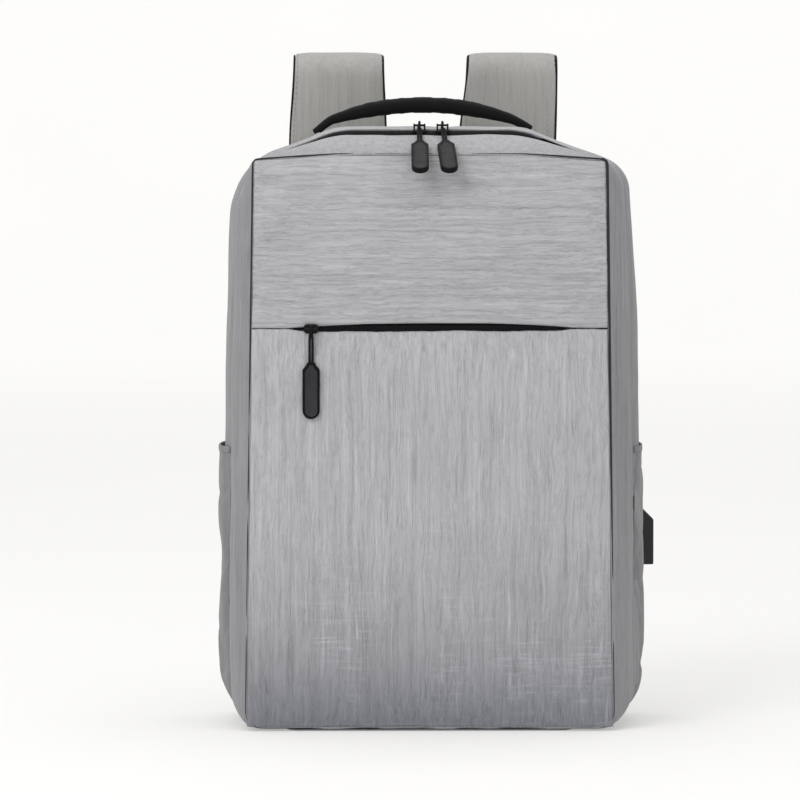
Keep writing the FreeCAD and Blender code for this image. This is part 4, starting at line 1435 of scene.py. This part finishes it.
def make_lower_webbing(name, side):
    """Flat webbing from the adjuster to the tab at the bag's lower corner."""
    x = side * STRAP_X + STRAP_SHIFT
    knots = np.array([(x, STRAP_END_Y - 0.3, 109.0), (x + side * 1.5, STRAP_END_Y - 0.8, 100.0),
                      (side * 78.0, 75.5, 80.0), (side * 97.0, 67.2, 56.0), (side * 106.0, 61.6, 43.0),
                      (side * 109.0, 60.0, 37.0)])
    along = np.linspace(0, 1, len(knots))
    steps = np.linspace(0, 1, 40)
    path = np.stack([np.interp(steps, along, knots[:, k]) for k in range(3)], axis=1)
    for _ in range(6):
        path[1:-1] = (path[:-2] + 2 * path[1:-1] + path[2:]) / 4
    strip = sweep("lower_strap_" + name, path, superellipse(12.3, 0.65), (0, 1, 0))
    ripple(strip, 0.15, (20, 20, 12), 3.0)
    dress(strip, "webbing", None, "webbing", "lower_webbing_" + name)
    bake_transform(strip)


# ---------------------------------------------------------------------------------------------
# Back, base and inside.

def back_pad(index, x, z):
    """One foam pad, plumped by cloth simulation."""
    width = 80.0
    height = 138.0
    rows = []
    for y, inset in ((56.2, 1.0), (57.4, 0.0), (60.4, 0.0), (62.6, 1.6)):
        corners = [(x + inset, z + inset, 12), (x + width - inset, z + inset, 12),
                   (x + width - inset, z + height - inset, 12), (x + inset, z + height - inset, 12)]
        loop = rounded_loop(corners, 6, [12, 22, 12, 22])
        rows.append(standing(loop, y))
    obj = grid_object("back_pad_foam_%d" % index, np.array(rows), wrap_columns=True, flip=True, caps=True)
    add_modifier(obj, "REMESH", mode="VOXEL", voxel_size=4.0 * MM)
    apply_all(obj)
    settle(obj, [], pressure=3.0, cap=3.2, shrink=0.0, stiffness=10)
    smoothed(obj)
    heights = coordinates(obj)[:, 2] / MM
    channel = np.exp(-((heights - (z + height / 2)) / 3.2) ** 2)
    ripple(obj, 0.3, (16, 16, 16), 3.0 + index)
    points = coordinates(obj) / MM
    points[:, 1] -= channel * 1.6 * (points[:, 1] > 60)
    points[:, 1] = np.maximum(points[:, 1], 56.0)
    set_coordinates(obj, points * MM)
    return obj


def make_back():
    """Back panel, four foam pads and the piping round them."""
    station = REAR_STATIONS[-1]
    grid = filled_loop(station, 0.8, 55.9)
    panel = grid_object("back_panel_mesh", grid, wrap_columns=True, caps=True)
    ripple(panel, 0.4, (40, 40, 40), 5.0)
    thicken(panel, 1.6, MATERIALS["lining"])
    dress(panel, "mesh", "root", "back_mesh", "back_panel")
    pads = []
    for index, (x, z) in enumerate(((-97.0, 65.0), (17.0, 65.0), (-97.0, 217.0), (17.0, 217.0))):
        pads.append(back_pad(index, x, z))
    pads = joined("back_pad_foam", pads)
    dress(pads, "mesh", "root", "back_mesh", "back_pads")
    edging = piping("back_piping", body_loop(station, -0.3), 56.0, lambda x, z: 1.5)
    dress(edging, "webbing", "root", "webbing")


YOKE_LEFT = -101.0
YOKE_RIGHT = 95.0
YOKE_LOW = 366.0
YOKE_HIGH = 409.0


def make_yoke():
    """Stitched panel over the upper back that the straps are sewn under."""
    width = YOKE_RIGHT - YOKE_LEFT
    height = YOKE_HIGH - YOKE_LOW
    edge = np.array([0.0, 0.4, 1.2])
    across = spread(width, 4.0, edge) * 2 - 1
    up = spread(height, 4.0, edge) * 2 - 1
    grid_u, grid_v = corner_pull(*np.meshgrid(across, up), width / 2, height / 2, 10.0)
    x = (YOKE_LEFT + YOKE_RIGHT) / 2 + grid_u * width / 2
    top = np.minimum(YOKE_HIGH, crown_z(REAR_STATIONS[-1], x, 2.5))
    z = YOKE_LOW + (top - YOKE_LOW) * (grid_v + 1) / 2
    distance = np.minimum(np.minimum(x - YOKE_LEFT, YOKE_RIGHT - x), np.minimum(z - YOKE_LOW, top - z))
    lift = 1.6 * np.sqrt(np.clip(1 - (1 - np.clip(distance / 12.0, 0, 1)) ** 2, 0, 1))
    panel = grid_object("yoke", np.stack([x, 56.4 + lift, z], axis=2), flip=True)
    apply_all(thicken(panel, 1.2))
    yoke = [panel]
    for z in (370.0, 390.0):
        row = [(x, 58.1, z) for x in (-94.0, 88.0)]
        yoke.append(stitches("yoke_row_%d" % int(z), row, (0, 1, 0)))
    dress(joined("strap_yoke_panel", yoke), "webbing", "root", "webbing", "strap_yoke")


TAB_SEAMS = [((100.0, 50.0), (116.0, 34.0)), ((114.0, 54.0), (103.0, 32.0)), ((100.0, 50.0), (114.0, 54.0))]


def make_lower_tabs():
    """Tabs at the lower corners that hold the ends of the lower webbing."""
    tabs = []
    for side in (-1, 1):
        line = np.linspace((side * 116.0, 57.2, 27.0), (side * 103.0, 57.2, 54.0), 10)
        tabs.append(sweep("tab_%d" % side, line, lambda index: superellipse(15.0 - 2.0 * (index / 9), 1.1),
                          (0, 1, 0)))
        for index, ends in enumerate(TAB_SEAMS):
            row = [(side * x, 58.5, z) for x, z in ends]
            tabs.append(stitches("tab_row_%d_%d" % (side, index), row, (0, 1, 0), 2.0, 1.2, 0.28))
    dress(joined("lower_tabs", tabs), "webbing", "root", "webbing", "lower_anchors")


def make_base():
    """Base panel with rounded corners."""
    edge = np.array([0.0, 0.5, 1.5])
    across = spread(200.0, 5.0, edge) * 2 - 1
    along = spread(116.0, 5.0, edge) * 2 - 1
    grid_u, grid_v = np.meshgrid(across, along)
    grid_u, grid_v = corner_pull(grid_u, grid_v, 100.0, 58.0, 16.0)
    distance = np.minimum(100 - np.abs(grid_u) * 100, 58 - np.abs(grid_v) * 58)
    z = 0.02 + 0.3 * (1 - np.clip(distance / 3.0, 0, 1)) ** 2
    base = grid_object("base_fabric", np.stack([grid_u * 100, -4.5 + grid_v * 58, z], axis=2), flip=True)
    base.data.materials.append(MATERIALS["side"])
    thicken(base, 1.1, MATERIALS["lining"])
    dress(base, "side", "root", "shell_fabric", "base_panel")


def pouch(name, x0, x1, back_y, front_y, z0, z1, body, node):
    """Open-topped pouch sewn to a flat wall behind it."""
    corners = [(x0, back_y, 0.6), (x0, front_y, 4), (x1, front_y, 4), (x1, back_y, 0.6)]
    outline = rounded_loop(corners, 6, [6, 40, 6, 2])
    start = int(np.argmin(np.abs(outline[:, 0] - x0) + np.abs(outline[:, 1] - back_y)))
    outline = np.roll(outline, -start, axis=0)[:-3]
    rows = []
    depth = back_y - front_y
    for share in np.linspace(0, 1, 28):
        z = z0 + (z1 - z0) * share
        reach = math.sqrt(1 - (1 - min(share / 0.08, 1.0)) ** 2)
        y = back_y + (outline[:, 1] - back_y) * max(reach, 0.05)
        sag = 0.6 * np.sin(outline[:, 0] * 0.16) * share * (outline[:, 1] < back_y - depth * 0.5)
        rows.append(np.stack([outline[:, 0], y + sag, np.full(len(outline), z)], axis=1))
    obj = grid_object(name, np.array(rows), flip=True)
    ripple(obj, 0.3, (22, 22, 22), 8.0)
    add_modifier(obj, "SOLIDIFY", thickness=1.0 * MM, offset=1.0)
    return dress(obj, "lining", body, "lining", node)


def make_inside():
    """Lining, pouches and the laptop divider with a notch for the lead."""
    station = station_at(FRONT_STATIONS, -52.0)
    grid = filled_loop(station, 3.8, -50.4)
    lining = grid_object("front_lining_fabric", grid, wrap_columns=True, caps=True)
    ripple(lining, 0.4, (35, 20, 35), 6.0)
    thicken(lining, 1.2)
    dress(lining, "lining", "front_shell", "lining", "front_lining")
    pouch("organiser_fabric", -85, 85, -50.0, -42.6, 120, 262, "front_shell", "organiser_pocket")
    pouch("battery_fabric", 58, 124, 28.0, 11.4, 50, 124, "root", "battery_pocket")
    station = station_at(REAR_STATIONS, 29.0)
    station = station._replace(base_half=132.0, top_half=131.0)
    grid = divider_grid(station, 3.2, 30.4, 12.0, 300.0)
    sheet = grid_object("laptop_sleeve_fabric", grid, flip=True)
    points = coordinates(sheet) / MM
    notch = (points[:, 0] > 96) & (np.abs(points[:, 2] - 184) < 17)
    faces = [face for face in sheet.data.polygons if not all(notch[index] for index in face.vertices)]
    kept = [tuple(face.vertices) for face in faces]
    bpy.data.objects.remove(sheet)
    sheet = add_object("laptop_sleeve_fabric", points, kept)
    ripple(sheet, 0.5, (45, 20, 45), 2.5)
    thicken(sheet, 2.2)
    dress(sheet, "lining", "root", "lining", "laptop_divider")


SLEEVE_STRAP = [(0, 50.2, 306.6), (0, 44, 307.1), (0, 36, 306.9), (0, 29.5, 307.0), (0, 26.6, 306.0),
                (0, 25.5, 303.0), (0, 25.4, 290), (0, 25.4, 276), (0, 25.4, 262.4)]


def make_sleeve_strap():
    """Strap that closes the laptop sleeve, and the patch that it holds on to."""
    path = resampled(SLEEVE_STRAP, 2.5)
    strap = sweep("sleeve_strap_webbing", path, superellipse(15.0, 0.75), square_to(path))
    dress(strap, "webbing", "sleeve_strap", "webbing", "sleeve_strap")
    patch = sweep("sleeve_patch_tape", [(0, 27.3, z) for z in np.linspace(266, 292, 12)],
                  superellipse(15.0, 0.6), (0, -1, 0))
    dress(patch, "tape", "root", "hook_loop", "sleeve_patch")


make_camera()
make_floor()
make_lights()
make_pulls()
make_front_shell()
make_rear_shell()
make_main_zip()
make_front_zip()
make_side_pockets()
make_handle()
make_handle_patches()
make_strap("left", -1)
make_strap("right", 1)
make_lower_webbing("left", -1)
make_lower_webbing("right", 1)
make_back()
make_yoke()
make_lower_tabs()
make_base()
make_inside()
make_sleeve_strap()
repaint_frame()
